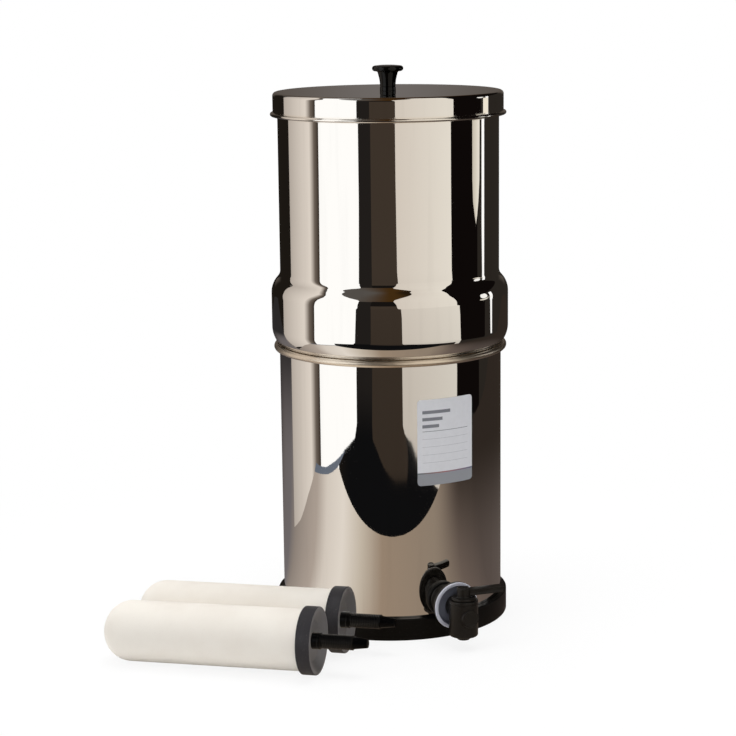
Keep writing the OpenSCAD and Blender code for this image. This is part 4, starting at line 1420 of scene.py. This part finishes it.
@dataclass
class Lid(Assembly):
    """The lid with its knob, and the screw that holds the knob."""

    sheet: float = 0.8
    edge: float = 3.0
    bead: float = 1.6
    neck: float = 6.8
    neck_flare: float = 1.8
    neck_fillet: float = 2.2
    head: float = 13.7
    head_height: float = 5.4
    dome: float = 0.6
    seam_height: float = 3.6
    screw: float = 2.45
    screw_thread: tuple[float, float] = (0.35, 0.8)
    slot_width: float = 1.2
    slot_depth: float = 1.3

    def build(self) -> None:
        """Turns the shell, the knob, the screw and its washer."""
        bottom, top = span_mm("lid_shell")
        bead_r, bead_z = high_mm("lid_shell").x - self.bead, bottom + self.bead
        outer = bead_r - self.bead + self.sheet
        join = math.degrees(math.acos((outer - bead_r) / self.bead))

        def skin(inset: float) -> list[Point]:
            """The top and its edge, drawn inset from the outer face."""
            return [(0, top - inset)] + arc(outer - self.edge, top - self.edge, self.edge - inset, 90, 0)

        outline = skin(0) + arc(bead_r, bead_z, self.bead, join, -180, 8.0) + skin(self.sheet)[::-1]
        self.dress_turned("lid_shell", "lid", outline, STEEL, sides=WIDE_SIDES)
        self.build_knob(top)
        self.build_screw()

    def build_knob(self, base: float) -> None:
        """Turns the knob: a collar, a neck that flares more and more, and a head with a domed top.

        Args:
            base: Height of the lid's top, where the knob stands.
        """
        top, neck = high_mm("lid_knob").z, self.neck
        head_z, rim = top - self.head_height, (self.head_height - self.dome) / 2
        seam, flared = base + self.seam_height, neck + self.neck_flare
        rise = head_z - self.neck_fillet - seam
        flare = [(neck + self.neck_flare * share ** 2, seam + rise * share)
                 for share in (0.25, 0.4, 0.55, 0.7, 0.85, 0.95)]
        outline = (
            rounded((0, base, 0), (neck + 0.25, base, 0.2), (neck + 0.15, seam - 0.3, 0.2),
                    (neck - 0.25, seam, 0.1), (neck + 0.02, seam + 0.35, 0.1), flare[0] + (0.0,))
            + flare[1:]
            + arc(flared + self.neck_fillet, head_z - self.neck_fillet, self.neck_fillet, 162, 90, 8.0)
            + arc(self.head - rim, head_z + rim, rim, -90, 80, 8.0)
            + [(self.head * 0.55, top - 0.3 * self.dome), (self.head * 0.25, top - 0.06 * self.dome)]
            + [(0, top)]
        )
        knob = self.shop.turn("lid_knob_dressed", supported(outline, longest=4.0), KNOB_PLASTIC)
        dress(knob, "lid", KNOB_PLASTIC, "lid_knob")

    def build_screw(self) -> None:
        """Turns the screw, cuts its slot, and turns its washer."""
        low, high = span_mm("lid_screw")
        washer_low, washer_high = span_mm("lid_screw_washer")
        head_r, washer_r = high_mm("lid_screw").x, high_mm("lid_screw_washer").x
        screw = (
            supported(rounded((0, low, 0), (head_r, low, 1.1), (head_r, washer_low, 0.2),
                              (self.screw, washer_low, 0)))
            + threaded(self.screw, washer_low + 0.2, high - 0.5, *self.screw_thread)
            + [Row(self.screw - 0.5, high), Row(0, high)]
        )
        piece = self.shop.turn("lid_screw_dressed", screw, SCREW_STEEL, sides=64)
        reach, half = head_r + 1, self.slot_width / 2
        corners = [(-reach, -half), (reach, -half), (reach, half), (-reach, half)]
        slot = self.shop.slab("slot", corners, low - 1, low + self.slot_depth, SCREW_STEEL)
        self.shop.carve(piece, Side.DIFFERENCE, slot)
        dress(piece, "lid", SCREW_STEEL, "lid_screw")
        washer = ring(self.screw + 0.1, washer_r, washer_low, washer_high, 0.2, 0.3)
        self.dress_turned("lid_screw_washer", "lid", washer, SCREW_STEEL, sides=NARROW_SIDES)


# ---- Candles ----


@dataclass
class Candle(Assembly):
    """A ceramic candle with its cap, drawn with the cap's face at height 0 and the dome up."""

    name: str
    body: str
    place: Matrix
    fitted: bool
    length: float = 188.0
    radius: float = 25.75
    straight_end: float = 60.0
    tip: float = 2.0
    ceramic_wall: float = 7.0
    ceramic_start: float = 7.5
    cap_radius: float = 28.5
    cap_height: float = 12.3
    cap_bore: float = 25.85
    cap_edge: float = 1.0
    dish_rim: float = 26.0
    dish_floor: float = 17.5
    dish_depth: float = 5.0
    collar: float = 7.0
    collar_proud: float = 2.3
    stem: float = 6.2
    stem_length: float = 27.7
    nose: float = 5.3
    nose_end: float = 3.7
    nose_length: float = 12.5
    drain: float = 2.2
    washer_radius: float = 16.0
    thread: float = 1.5
    thread_depth: float = 0.55

    def build(self) -> None:
        """Turns the ceramic and the cap, and dresses the carbon inside."""
        self.build_ceramic()
        self.build_cap()
        dress_node(f"{self.name}_carbon", CARBON)
        if self.fitted:
            self.build_washer()

    def build_ceramic(self) -> None:
        """Turns the shell round its hollow."""
        dome, hollow = self.radius - self.tip, self.radius - self.ceramic_wall
        outline = (
            rounded((hollow, self.ceramic_start, 0.4), (self.radius, self.ceramic_start, 0.6),
                    (self.radius, self.straight_end, 0))
            + arc(self.tip, self.length - dome, dome, 0, 90, 4.0) + [(0, self.length)]
            + arc(0, self.length - self.ceramic_wall - hollow, hollow, 90, 0, 6.0)
        )
        outline.append(outline[0])
        self.dress_turned(f"{self.name}_shell", self.body, outline, CERAMIC, self.place)

    def build_cap(self) -> None:
        """Turns the cap with its dish, and the glossy threaded stem that stands in it."""
        low, thread_end = -self.collar_proud, -self.collar_proud - self.stem_length
        dish = supported(rounded(
            (self.drain, self.dish_depth, 0), (self.dish_floor, self.dish_depth, 1.2),
            (self.dish_rim, 0, 0.5), (self.cap_radius, 0, self.cap_edge),
            (self.cap_radius, self.cap_height, self.cap_edge), (self.cap_bore, self.cap_height, 0.3),
            (self.cap_bore, self.ceramic_start, 0), (self.drain, self.ceramic_start, 0), closed=True))
        stem = (
            supported(rounded((self.drain, self.dish_depth + 0.5, 0), (self.collar, self.dish_depth + 0.5, 0),
                              (self.collar, 0.6, 0.3), (self.collar - 0.5, 0.2, 0.1),
                              (self.collar, -0.2, 0.3), (self.collar, low, 0.4), (self.stem, low, 0)))
            + threaded(self.stem, low - 0.3, thread_end + 0.3, self.thread_depth, self.thread)
            + supported(rounded((self.stem, thread_end, 0), (self.nose, thread_end, 0.3),
                                (self.nose_end, thread_end - self.nose_length, 0.6),
                                (self.drain, thread_end - self.nose_length, 0)))
            + [Row(self.drain, self.dish_depth + 0.5)]
        )
        cap = self.shop.turn(f"{self.name}_cap_dressed", dish, CAP_PLASTIC, self.place)
        self.shop.join(cap, self.shop.turn("stem", stem, STEM_PLASTIC, self.place, NARROW_SIDES))
        self.shop.paint(cap, CAP_PLASTIC, STEM_PLASTIC, CAP_FACE_PAINTED_LIGHT)
        self.paint_cap(cap)
        dress(cap, self.body, CAP_PLASTIC, f"{self.name}_cap")

    def paint_cap(self, cap: bpy.types.Object) -> None:
        """Gives the stem near the candle's axis its own finish, and the cap's dished face a lighter copy of
        the cap plastic that paints on the light which the face catches.

        Args:
            cap: The cap with its stem.
        """
        back = self.place.inverted()
        for face in cap.data.polygons:
            spot = back @ face.center / MM
            reach = math.hypot(spot.x, spot.y)
            if spot.z < self.dish_depth + 0.1 and reach < self.cap_radius - 0.4:
                on_stem = reach < self.collar + 0.1 and spot.z < self.dish_depth - 0.05
                # Slot 2 is the lighter copy of the cap plastic: painted light on the face.
                face.material_index = 1 if on_stem else 2

    def build_washer(self) -> None:
        """Turns the rubber washer under a fitted candle's cap."""
        outline = ring(self.collar + 0.1, self.washer_radius, -self.collar_proud, self.dish_depth, 0.4, 0.8)
        self.dress_turned(f"{self.name}_washer", self.body, outline, SEAL_RUBBER, self.place, NARROW_SIDES)


@dataclass
class WingNut(Assembly):
    """A wing nut under a fitted candle."""

    name: str
    hub: float = 9.5
    height: float = 9.0
    bore: float = 6.25
    wing_end: float = 13.5
    wing_round: float = 5.5
    wing_root: float = 7.85
    thickness: float = 3.6

    def build(self) -> None:
        """Turns the hub, unites it with its wings and bores it."""
        centre, low = middle_mm(self.name), low_mm(self.name).z
        swing = Matrix.Rotation(math.atan2(centre.y, centre.x), 4, "Z")
        place = at_mm(centre.x, centre.y, low) @ swing
        hub = rounded((0, 0, 0), (self.hub, 0, 0.8), (self.hub, self.height, 0.5), (0, self.height, 0))
        nut = self.shop.turn(f"{self.name}_dressed", supported(hub), KNOB_PLASTIC, place, NARROW_SIDES)
        middle, half = (self.height - self.wing_round) / 2, self.thickness / 2
        outline = ([(self.wing_root, 0.3)] + arc(self.wing_end, middle, self.wing_round, -70, 130, 10.0)
                   + [(self.wing_root, self.height - 0.4)])
        for side in (0, 180):
            upright = place @ spin(side) @ spin(90, "X")
            wing = self.shop.slab("wing", outline, -half, half, KNOB_PLASTIC, upright, bevel=0.7)
            self.shop.carve(nut, Side.UNION, wing)
        tool = [Row(0, -1), Row(self.bore, -1), Row(self.bore, self.height + 1), Row(0, self.height + 1)]
        self.shop.carve(nut, Side.DIFFERENCE, self.shop.turn("bore", tool, KNOB_PLASTIC, place, NARROW_SIDES))
        dress(nut, self.name, KNOB_PLASTIC, self.name)


@dataclass(frozen=True)
class Rest:
    """How a loose candle lies: its cap face's middle, and where its stem points."""

    x: float
    y: float
    turn: float
    height: float = 28.70
    tilt: float = 1.03

    @property
    def place(self) -> Matrix:
        """Lays a candle down: its dome end turns away from the stem's direction.

        Returns:
            The move from the upright candle to where it lies, in metres.
        """
        turn, tilt = math.radians(self.turn), math.radians(self.tilt)
        stem = Vector((math.cos(turn) * math.cos(tilt), math.sin(turn) * math.cos(tilt), math.sin(tilt)))
        laid = Vector((0, 0, 1)).rotation_difference(-stem).to_matrix().to_4x4()
        return at_mm(self.x, self.y, self.height) @ laid


@dataclass
class Candles(Assembly):
    """The two fitted candles with their wing nuts, and the two that lie on the table."""

    hole_circle: float = 52.0
    fitted_turns: tuple[float, float] = (135.0, 315.0)
    loose: dict[str, Rest] = field(default_factory=lambda: {
        "rear_candle": Rest(-38.76, -132.37, -15.2), "front_candle": Rest(-61.57, -188.45, -14.6)})

    def fitted_place(self, turn: float) -> Matrix:
        """Stands a candle on a floor hole, its cap's face above the floor."""
        level = high_mm("fitted_candle_1_shell").z - Candle.length
        return spin(turn) @ at_mm(self.hole_circle, 0, level)

    def build(self) -> None:
        """Builds the four candles and the two wing nuts."""
        for number, turn in enumerate(self.fitted_turns, 1):
            Candle(self.shop, f"fitted_candle_{number}", "upper", self.fitted_place(turn), True).build()
            WingNut(self.shop, f"wing_nut_{number}").build()
        for name, rest in self.loose.items():
            Candle(self.shop, name, name, rest.place, False).build()
            for piece in bpy.data.objects:
                if piece.name.startswith(name):
                    piece.visible_glossy = False


# ---- Studio ----


@dataclass(frozen=True)
class Card:
    """A sheet bent round the object that only mirrors see.

    Its ribs run from the foot up: height, the directions of its first and last edge, and its share of
    the card's light where that is below 1.
    """

    name: str
    colour: Colour
    ribs: tuple[tuple[float, ...], ...]
    end_colour: Colour | None = None
    radius: float = 3.0
    columns: int = 24

    def lattice(self) -> tuple[list[Sequence[float]], list[Sequence[int]], list[Colour]]:
        """The card's vertices, its faces, and each vertex's colour.

        Returns:
            The vertices, the faces and the colours.
        """
        verts, tones = [], []
        last = self.end_colour or self.colour
        for height, start, end, *light in self.ribs:
            for i in range(self.columns + 1):
                share = i / self.columns
                out = heading(start + (end - start) * share) * self.radius
                verts.append((out.x, out.y, height))
                tone = tuple(a + (b - a) * share for a, b in zip(self.colour, last))
                tones.append(dimmed(tone, *light) if light else tone)
        row = self.columns + 1
        faces = [(k, k + 1, k + 1 + row, k + row)
                 for r in range(len(self.ribs) - 1) for k in range(r * row, r * row + self.columns)]
        return verts, faces, tones


@dataclass(frozen=True)
class Lamp:
    """A square lamp that shines at the object."""

    name: str
    spot: tuple[float, float, float]
    size: float
    power: float


@dataclass
class Studio:
    """Floor, cards, lamps, sky and camera."""

    floor_half: float = 30.0
    room: float = 3.2
    sky: float = 0.34
    distance: float = 1.8567
    height: float = 0.58144
    pitch: float = 10.948
    yaw: float = -0.623
    roll: float = -0.657
    lens: float = 102.88
    mirrored: float = 1.25
    aim_height: float = 0.15
    lamps: tuple[Lamp, ...] = (
        Lamp("key", (-1.9, -1.2, 1.9), 1.6, 15.0),
        Lamp("top", (0.1, 0.2, 2.6), 2.0, 58.0),
    )
    cards: tuple[Card, ...] = (
        Card("left_beige", srgb(176, 167, 158), (
            (-1.7, -124, -86), (0.0, -124, -86), (0.7, -124.5, -85), (1.75, -129.5, -82), (2.6, -136, -82),
            (3.6, -145, -95), (4.5, -160, -112)), srgb(222, 213, 203), 3.06),
        Card("left_shade", srgb(220, 211, 201), (
            (-1.7, -90, -83.3), (-0.3, -90, -83.3), (0.1, -88.5, -82), (1.1, -86.5, -80),
            (1.8, -84.5, -77.5), (2.6, -84.5, -79), (3.6, -100, -91), (4.5, -116, -112)),
            srgb(112, 102, 93), 3.04),
        Card("left_edge", srgb(108, 98, 89), (
            (-1.7, -83.3, -76.6), (-0.3, -83.3, -76.6), (0.1, -82, -75.5), (1.1, -80, -74),
            (1.8, -77.5, -71.5), (2.6, -79, -75), (3.6, -91, -88), (4.5, -112, -110)),
            srgb(42, 33, 26), 3.02),
        Card("softbox", srgb(255, 255, 254), (
            (-1.7, -77, -55), (-0.532, -77, -55), (-0.511, -77, -48), (-0.497, -77, -42),
            (-0.483, -77, -37), (-0.45, -77, -34.8), (-0.33, -77, -34.6), (-0.15, -76.4, -31.5),
            (0.05, -75.7, -30.5), (1.1, -74.2, -30.5), (1.88, -72, -31), (2.2, -73, -33.5),
            (2.75, -76, -45), (3.4, -84, -56), (4.2, -96, -66), (5.1, -114, -74), (6.2, -114, -80),
            (8.0, -114, -84), (12.9, -114, -86))),
        Card("front", srgb(60, 51, 43), (
            (-0.583, 4, 15, 0.78), (-0.575, 0, 16, 0.78), (-0.56, -5.5, 16.7, 0.78),
            (-0.541, -9.6, 16.7, 0.78), (-0.51, -14.5, 16.7, 0.78), (-0.487, -18.6, 15, 0.78),
            (-0.45, -19, 12, 0.78), (-0.33, -18.4, 11.8, 0.8), (-0.2, -18, 11, 0.9),
            (-0.1, -18, 7.6), (0.1, -18, 6.8), (0.52, -18, 6.4))),
        Card("front_above", srgb(22, 19, 17), ((0.52, -18, 6.4), (1.85, -18, 3.5)), radius=3.02),
        Card("cream", srgb(209, 200, 189), (
            (-1.7, 66, 71, 0.82), (-0.59, 66, 71, 0.82), (-0.56, 35, 71, 0.82), (-0.52, 25, 71, 0.82),
            (-0.49, 20.5, 71, 0.82), (-0.471, 14, 71, 0.82), (-0.45, 12, 71, 0.82), (-0.33, 11.8, 71.5, 0.84),
            (-0.2, 11, 70, 0.92), (-0.1, 7.6, 66.5), (0.1, 6.8, 66), (0.9, 6, 66), (1.88, 3.5, 66),
            (2.4, 5, 67), (3.2, 12.5, 72), (4.1, 21.5, 78), (5.3, 31, 87), (6.8, 38, 90), (9.0, 43, 92),
            (12.9, 46, 92)), srgb(225, 219, 208), 2.98),
        Card("right_flag", srgb(13, 9, 8), (
            (-0.448, 60, 103), (1.0, 60, 103), (1.4, 60, 160), (12.9, 60, 160)), radius=3.04),
        Card("spike", srgb(196, 188, 173), (
            (0.0, 100.5, 100.6), (0.02, 98.5, 102.6), (0.05, 96, 104.6), (0.1, 95, 106.5), (0.24, 95, 107)),
            srgb(232, 226, 214), 2.96),
        Card("oval", srgb(244, 242, 238), (
            (0.30, 101, 103), (0.36, 98.5, 105.5), (0.55, 96.5, 107), (0.85, 97, 106.5), (1.05, 99, 105),
            (1.12, 101, 103)), radius=2.96),
        Card("tab", srgb(236, 228, 212), (
            (0.243, 107, 115), (0.25, 106.5, 115.4), (0.30, 106.5, 115.4)), radius=2.95),
        Card("strip", srgb(255, 255, 255), (
            (-0.25, 112.5, 115), (0.0, 110.5, 115.4), (0.95, 111, 116)), radius=2.96),
    )

    def build(self) -> None:
        """Sets the stage."""
        self.build_floor()
        self.build_table()
        paint = self.glow("card_tones", self.card_tone, self.mirrored)
        for card in self.cards:
            self.build_card(card, paint)
        self.build_shell()
        self.build_lamps()
        self.build_sky()
        self.build_camera()

    @staticmethod
    def staged(name: str, verts: Sequence[Sequence[float]], faces: Sequence[Sequence[int]],
               material: bpy.types.Material) -> bpy.types.Object:
        """A stage object made of plain faces.

        Args:
            name: The object's name.
            verts: Its vertices.
            faces: Its faces.
            material: Its material.

        Returns:
            The object.
        """
        mesh = bpy.data.meshes.new(name)
        mesh.from_pydata(verts, [], faces)
        mesh.materials.append(material)
        thing = add_object(name, mesh)
        return thing

    @staticmethod
    def only_mirrored(thing: bpy.types.Object) -> None:
        """Shows a stage object in reflections alone.

        Args:
            thing: The stage object.
        """
        thing.visible_camera = False
        thing.visible_diffuse = False
        thing.visible_transmission = False
        thing.visible_volume_scatter = False
        thing.visible_shadow = False

    @staticmethod
    def glow(name: str, colour: Any, strength: float = 1.0) -> bpy.types.Material:
        """A material that shines evenly in one colour, or in what a function of Nodes makes.

        Args:
            name: The material's name.
            colour: A colour, or the function that makes one.
            strength: Strength of the light.

        Returns:
            The material.
        """
        made, nodes = blank_material(name)
        shown = colour(nodes) if callable(colour) else (*colour, 1.0)
        nodes.show(nodes.add("ShaderNodeEmission", {"Color": shown, "Strength": strength}))
        return made

    @staticmethod
    def card_tone(nodes: Nodes) -> Value:
        """The colour that a card keeps on its vertices."""
        return nodes.add("ShaderNodeAttribute", attribute_name="tone")

    def build_floor(self) -> None:
        """A white floor that keeps the shadow near the object and turns plain white further out."""
        made, nodes = blank_material("floor_white")
        paint = nodes.add("ShaderNodeBsdfDiffuse", {"Color": (0.97, 0.97, 0.97, 1.0)})
        white = nodes.add("ShaderNodeEmission", {"Color": (1.0, 1.0, 1.0, 1.0)})
        x, y, _ = nodes.split(nodes.place())
        lift = (x * x + y * y).apply("SQRT").ramp(0.12, 0.60, 0.86, 1.0)
        nodes.show(nodes.add("ShaderNodeMixShader", {0: lift * self.direct_view(nodes), 1: paint, 2: white}))
        half = self.floor_half
        corners = [(-half, -half, 0), (half, -half, 0), (half, half, 0), (-half, half, 0)]
        self.staged("floor", corners, [range(4)], made).visible_glossy = False

    def build_table(self) -> None:
        """The finite table top that the steel mirrors; it brightens towards the softbox."""

        def sheen(nodes: Nodes) -> Value:
            """Colour by direction round the object; it darkens with distance at the right and the rear.

            Args:
                nodes: The material's nodes.

            Returns:
                The colour.
            """
            x, y, _ = nodes.split(nodes.place())
            turn = x.apply("ARCTAN2", y * -1) / math.tau + 0.5
            distance = (x * x + y * y).apply("SQRT")
            stops = [
                (0.0, srgb(92, 84, 80)), (0.16, srgb(106, 101, 102)), (0.20, srgb(138, 128, 120)),
                (0.285, srgb(171, 159, 149)), (0.32, srgb(209, 200, 190)), (0.37, srgb(222, 214, 204)),
                (0.42, srgb(193, 182, 167)), (0.475, srgb(149, 131, 113)), (0.61, srgb(139, 125, 110)),
                (0.68, srgb(106, 93, 85)), (0.76, srgb(86, 76, 71)), (1.0, srgb(92, 84, 80)),
            ]
            near = nodes.add("ShaderNodeValToRGB", {"Fac": turn}, stops=stops)
            rear = distance.ramp(0.16, 0.80)
            far_left = rear + (distance.ramp(0.55, 1.5) - rear) * turn.ramp(0.0, 0.12)
            left = turn.ramp(0.15, 0.19, 1.0, 0.0) * far_left
            right = turn.ramp(0.62, 0.70) * rear
            return nodes.mix(right, nodes.mix(left, near, srgb(42, 40, 40)), srgb(45, 38, 33))

        outline = [(-0.55, -0.437), (0.471, -0.427), (0.78, -0.20), (0.95, -0.02), (1.05, 0.4), (1.3, 0.9),
                   (1.3, 1.6), (-1.3, 1.6), (-1.3, 0.81), (-0.351, 0.138), (-0.42, 0.076), (-0.545, 0.0),
                   (-0.66, -0.10), (-0.634, -0.193), (-0.596, -0.326), (-0.575, -0.426)]
        rim = [(-0.66, -0.10), (-0.70, -0.13), (-0.672, -0.203), (-0.649, -0.272), (-0.630, -0.37),
               (-0.606, -0.466), (-0.576, -0.576), (-0.575, -0.426), (-0.596, -0.326), (-0.634, -0.193)]
        for name, paint, colour, edge in (
            ("mirrored_rim", "table_rim", srgb(100, 107, 119), rim),
            ("mirrored_table", "table_sheen", sheen, outline),
        ):
            glow = self.glow(paint, colour, self.mirrored)
            self.only_mirrored(self.staged(name, [(x, y, 0.0) for x, y in edge], [range(len(edge))], glow))

    def build_card(self, card: Card, paint: bpy.types.Material) -> None:
        """Hangs one card, with its colours on its vertices.

        Args:
            card: The card.
            paint: The material that shows its colours.
        """
        verts, faces, tones = card.lattice()
        thing = self.staged(f"card_{card.name}", verts, faces, paint)
        tone = thing.data.color_attributes.new("tone", "FLOAT_COLOR", "POINT")
        tone.data.foreach_set("color", [part for colour in tones for part in (*colour, 1.0)])
        self.only_mirrored(thing)

    def build_shell(self) -> None:
        """The dark room behind the cards: walls, a pit below and a ceiling."""

        def walls(nodes: Nodes) -> Value:
            """Dark brown sides, black in front, warm grey behind the lid and brown overhead.

            Args:
                nodes: The material's nodes.

            Returns:
                The colour.
            """
            x, y, z = nodes.split(nodes.place())
            sides = nodes.mix((x / self.room).ramp(-0.2, 0.2), srgb(27, 23, 19), srgb(40, 36, 32))
            black = nodes.mix(z.ramp(-0.54, -0.38), srgb(14, 14, 15), srgb(32, 29, 27))
            level = nodes.mix((y / -self.room).ramp(0.50, 0.75), sides, black)
            behind = (y / self.room).ramp(0.85, 0.97) * z.ramp(0.3, 0.5) * z.ramp(1.6, 2.4, 1.0, 0.0)
            grey = nodes.mix(abs(x).ramp(0.0, 0.34), srgb(101, 96, 93), srgb(80, 73, 67))
            level = nodes.mix(behind, level, grey)
            left_over = nodes.mix(x.ramp(-2.2, 0.1), srgb(82, 78, 74), srgb(64, 43, 18))
            over = nodes.mix(x.ramp(0.3, 1.8), left_over, srgb(34, 24, 13))
            return nodes.mix(z.ramp(1.82, 1.88), level, over)

        count, low, high = 72, -2.2, 13.0
        rim = [heading(360 * i / count) * self.room for i in range(count)]
        verts = [(p.x, p.y, low) for p in rim] + [(p.x, p.y, high) for p in rim]
        faces = [(i, (i + 1) % count, count + (i + 1) % count, count + i) for i in range(count)]
        glow = self.glow("room_dark", walls, self.mirrored)
        self.only_mirrored(self.staged("room_walls", verts, faces, glow))
        ends = (("room_pit", low, srgb(14, 14, 15)), ("room_ceiling", high, srgb(40, 28, 16)))
        for name, z, colour in ends:
            disc = [(p.x, p.y, z) for p in rim]
            glow = self.glow(name, colour, self.mirrored)
            self.only_mirrored(self.staged(name, disc, [range(count)], glow))

    def build_lamps(self) -> None:
        """A large soft key at the upper left, and a larger one overhead."""
        for lamp in self.lamps:
            light = bpy.data.lights.new(lamp.name, "AREA")
            light.size = lamp.size
            light.energy = lamp.power
            thing = add_object(lamp.name, light)
            aim = Vector((0, 0, self.aim_height)) - Vector(lamp.spot)
            turned = aim.to_track_quat("-Z", "Y").to_matrix().to_4x4()
            thing.matrix_world = Matrix.Translation(lamp.spot) @ turned
            thing.visible_glossy = False

    @staticmethod
    def direct_view(nodes: Nodes) -> Value:
        """1 where the camera, a mirror or glass sees the surface, and 0 where it only lights others.

        Args:
            nodes: The material's nodes.

        Returns:
            The share, 0 or 1.
        """
        path = nodes.add("ShaderNodeLightPath").socket.node.outputs
        kinds = ("Is Camera Ray", "Is Glossy Ray", "Is Transmission Ray")
        return sum(Value(nodes, path[kind]) for kind in kinds).apply("MINIMUM", 1.0)

    def build_sky(self) -> None:
        """Even light all round, and plain white where the camera, mirrors or glass see past the stage."""
        world = bpy.data.worlds.new("studio_sky")
        bpy.context.scene.world = world
        world.use_nodes = True
        world.node_tree.nodes.clear()
        nodes = Nodes(world.node_tree)
        soft = nodes.add("ShaderNodeBackground", {"Color": (0.97, 0.985, 1.0, 1.0), "Strength": self.sky})
        white = nodes.add("ShaderNodeBackground", {"Color": (1.0, 1.0, 1.0, 1.0), "Strength": 1.0})
        mixed = nodes.add("ShaderNodeMixShader", {0: self.direct_view(nodes), 1: soft, 2: white})
        nodes.show(mixed, "ShaderNodeOutputWorld")

    def build_camera(self) -> None:
        """The camera, a little above the object and rolled by less than a degree."""
        yaw, pitch, roll = (math.radians(v) for v in (self.yaw, self.pitch, self.roll))
        level = Vector((math.sin(yaw), math.cos(yaw), 0))
        right = Vector((math.cos(yaw), -math.sin(yaw), 0))
        ahead = level * math.cos(pitch) + Vector((0, 0, -1)) * math.sin(pitch)
        up = right.cross(ahead)
        rolled_right = right * math.cos(roll) + up * math.sin(roll)
        rolled_up = up * math.cos(roll) - right * math.sin(roll)
        lens = bpy.data.cameras.new("camera")
        lens.lens = self.lens
        lens.sensor_width = 36.0
        camera = add_object("camera", lens)
        turned = Matrix((rolled_right, rolled_up, -ahead)).transposed().to_4x4()
        camera.matrix_world = Matrix.Translation((0, -self.distance, self.height)) @ turned
        bpy.context.scene.camera = camera
        bpy.context.scene.view_settings.view_transform = "Standard"


def main() -> None:
    """Builds the stage and every sub-assembly."""
    logging.basicConfig(level=logging.INFO, format="%(message)s")
    Studio().build()
    shop = Workshop()
    for assembly in (BaseRing, LowerChamber, Tap, UpperChamber, Lid, Candles):
        log.info("building %s", assembly.__name__)
        assembly(shop).build()


if __name__ == "__main__":
    main()
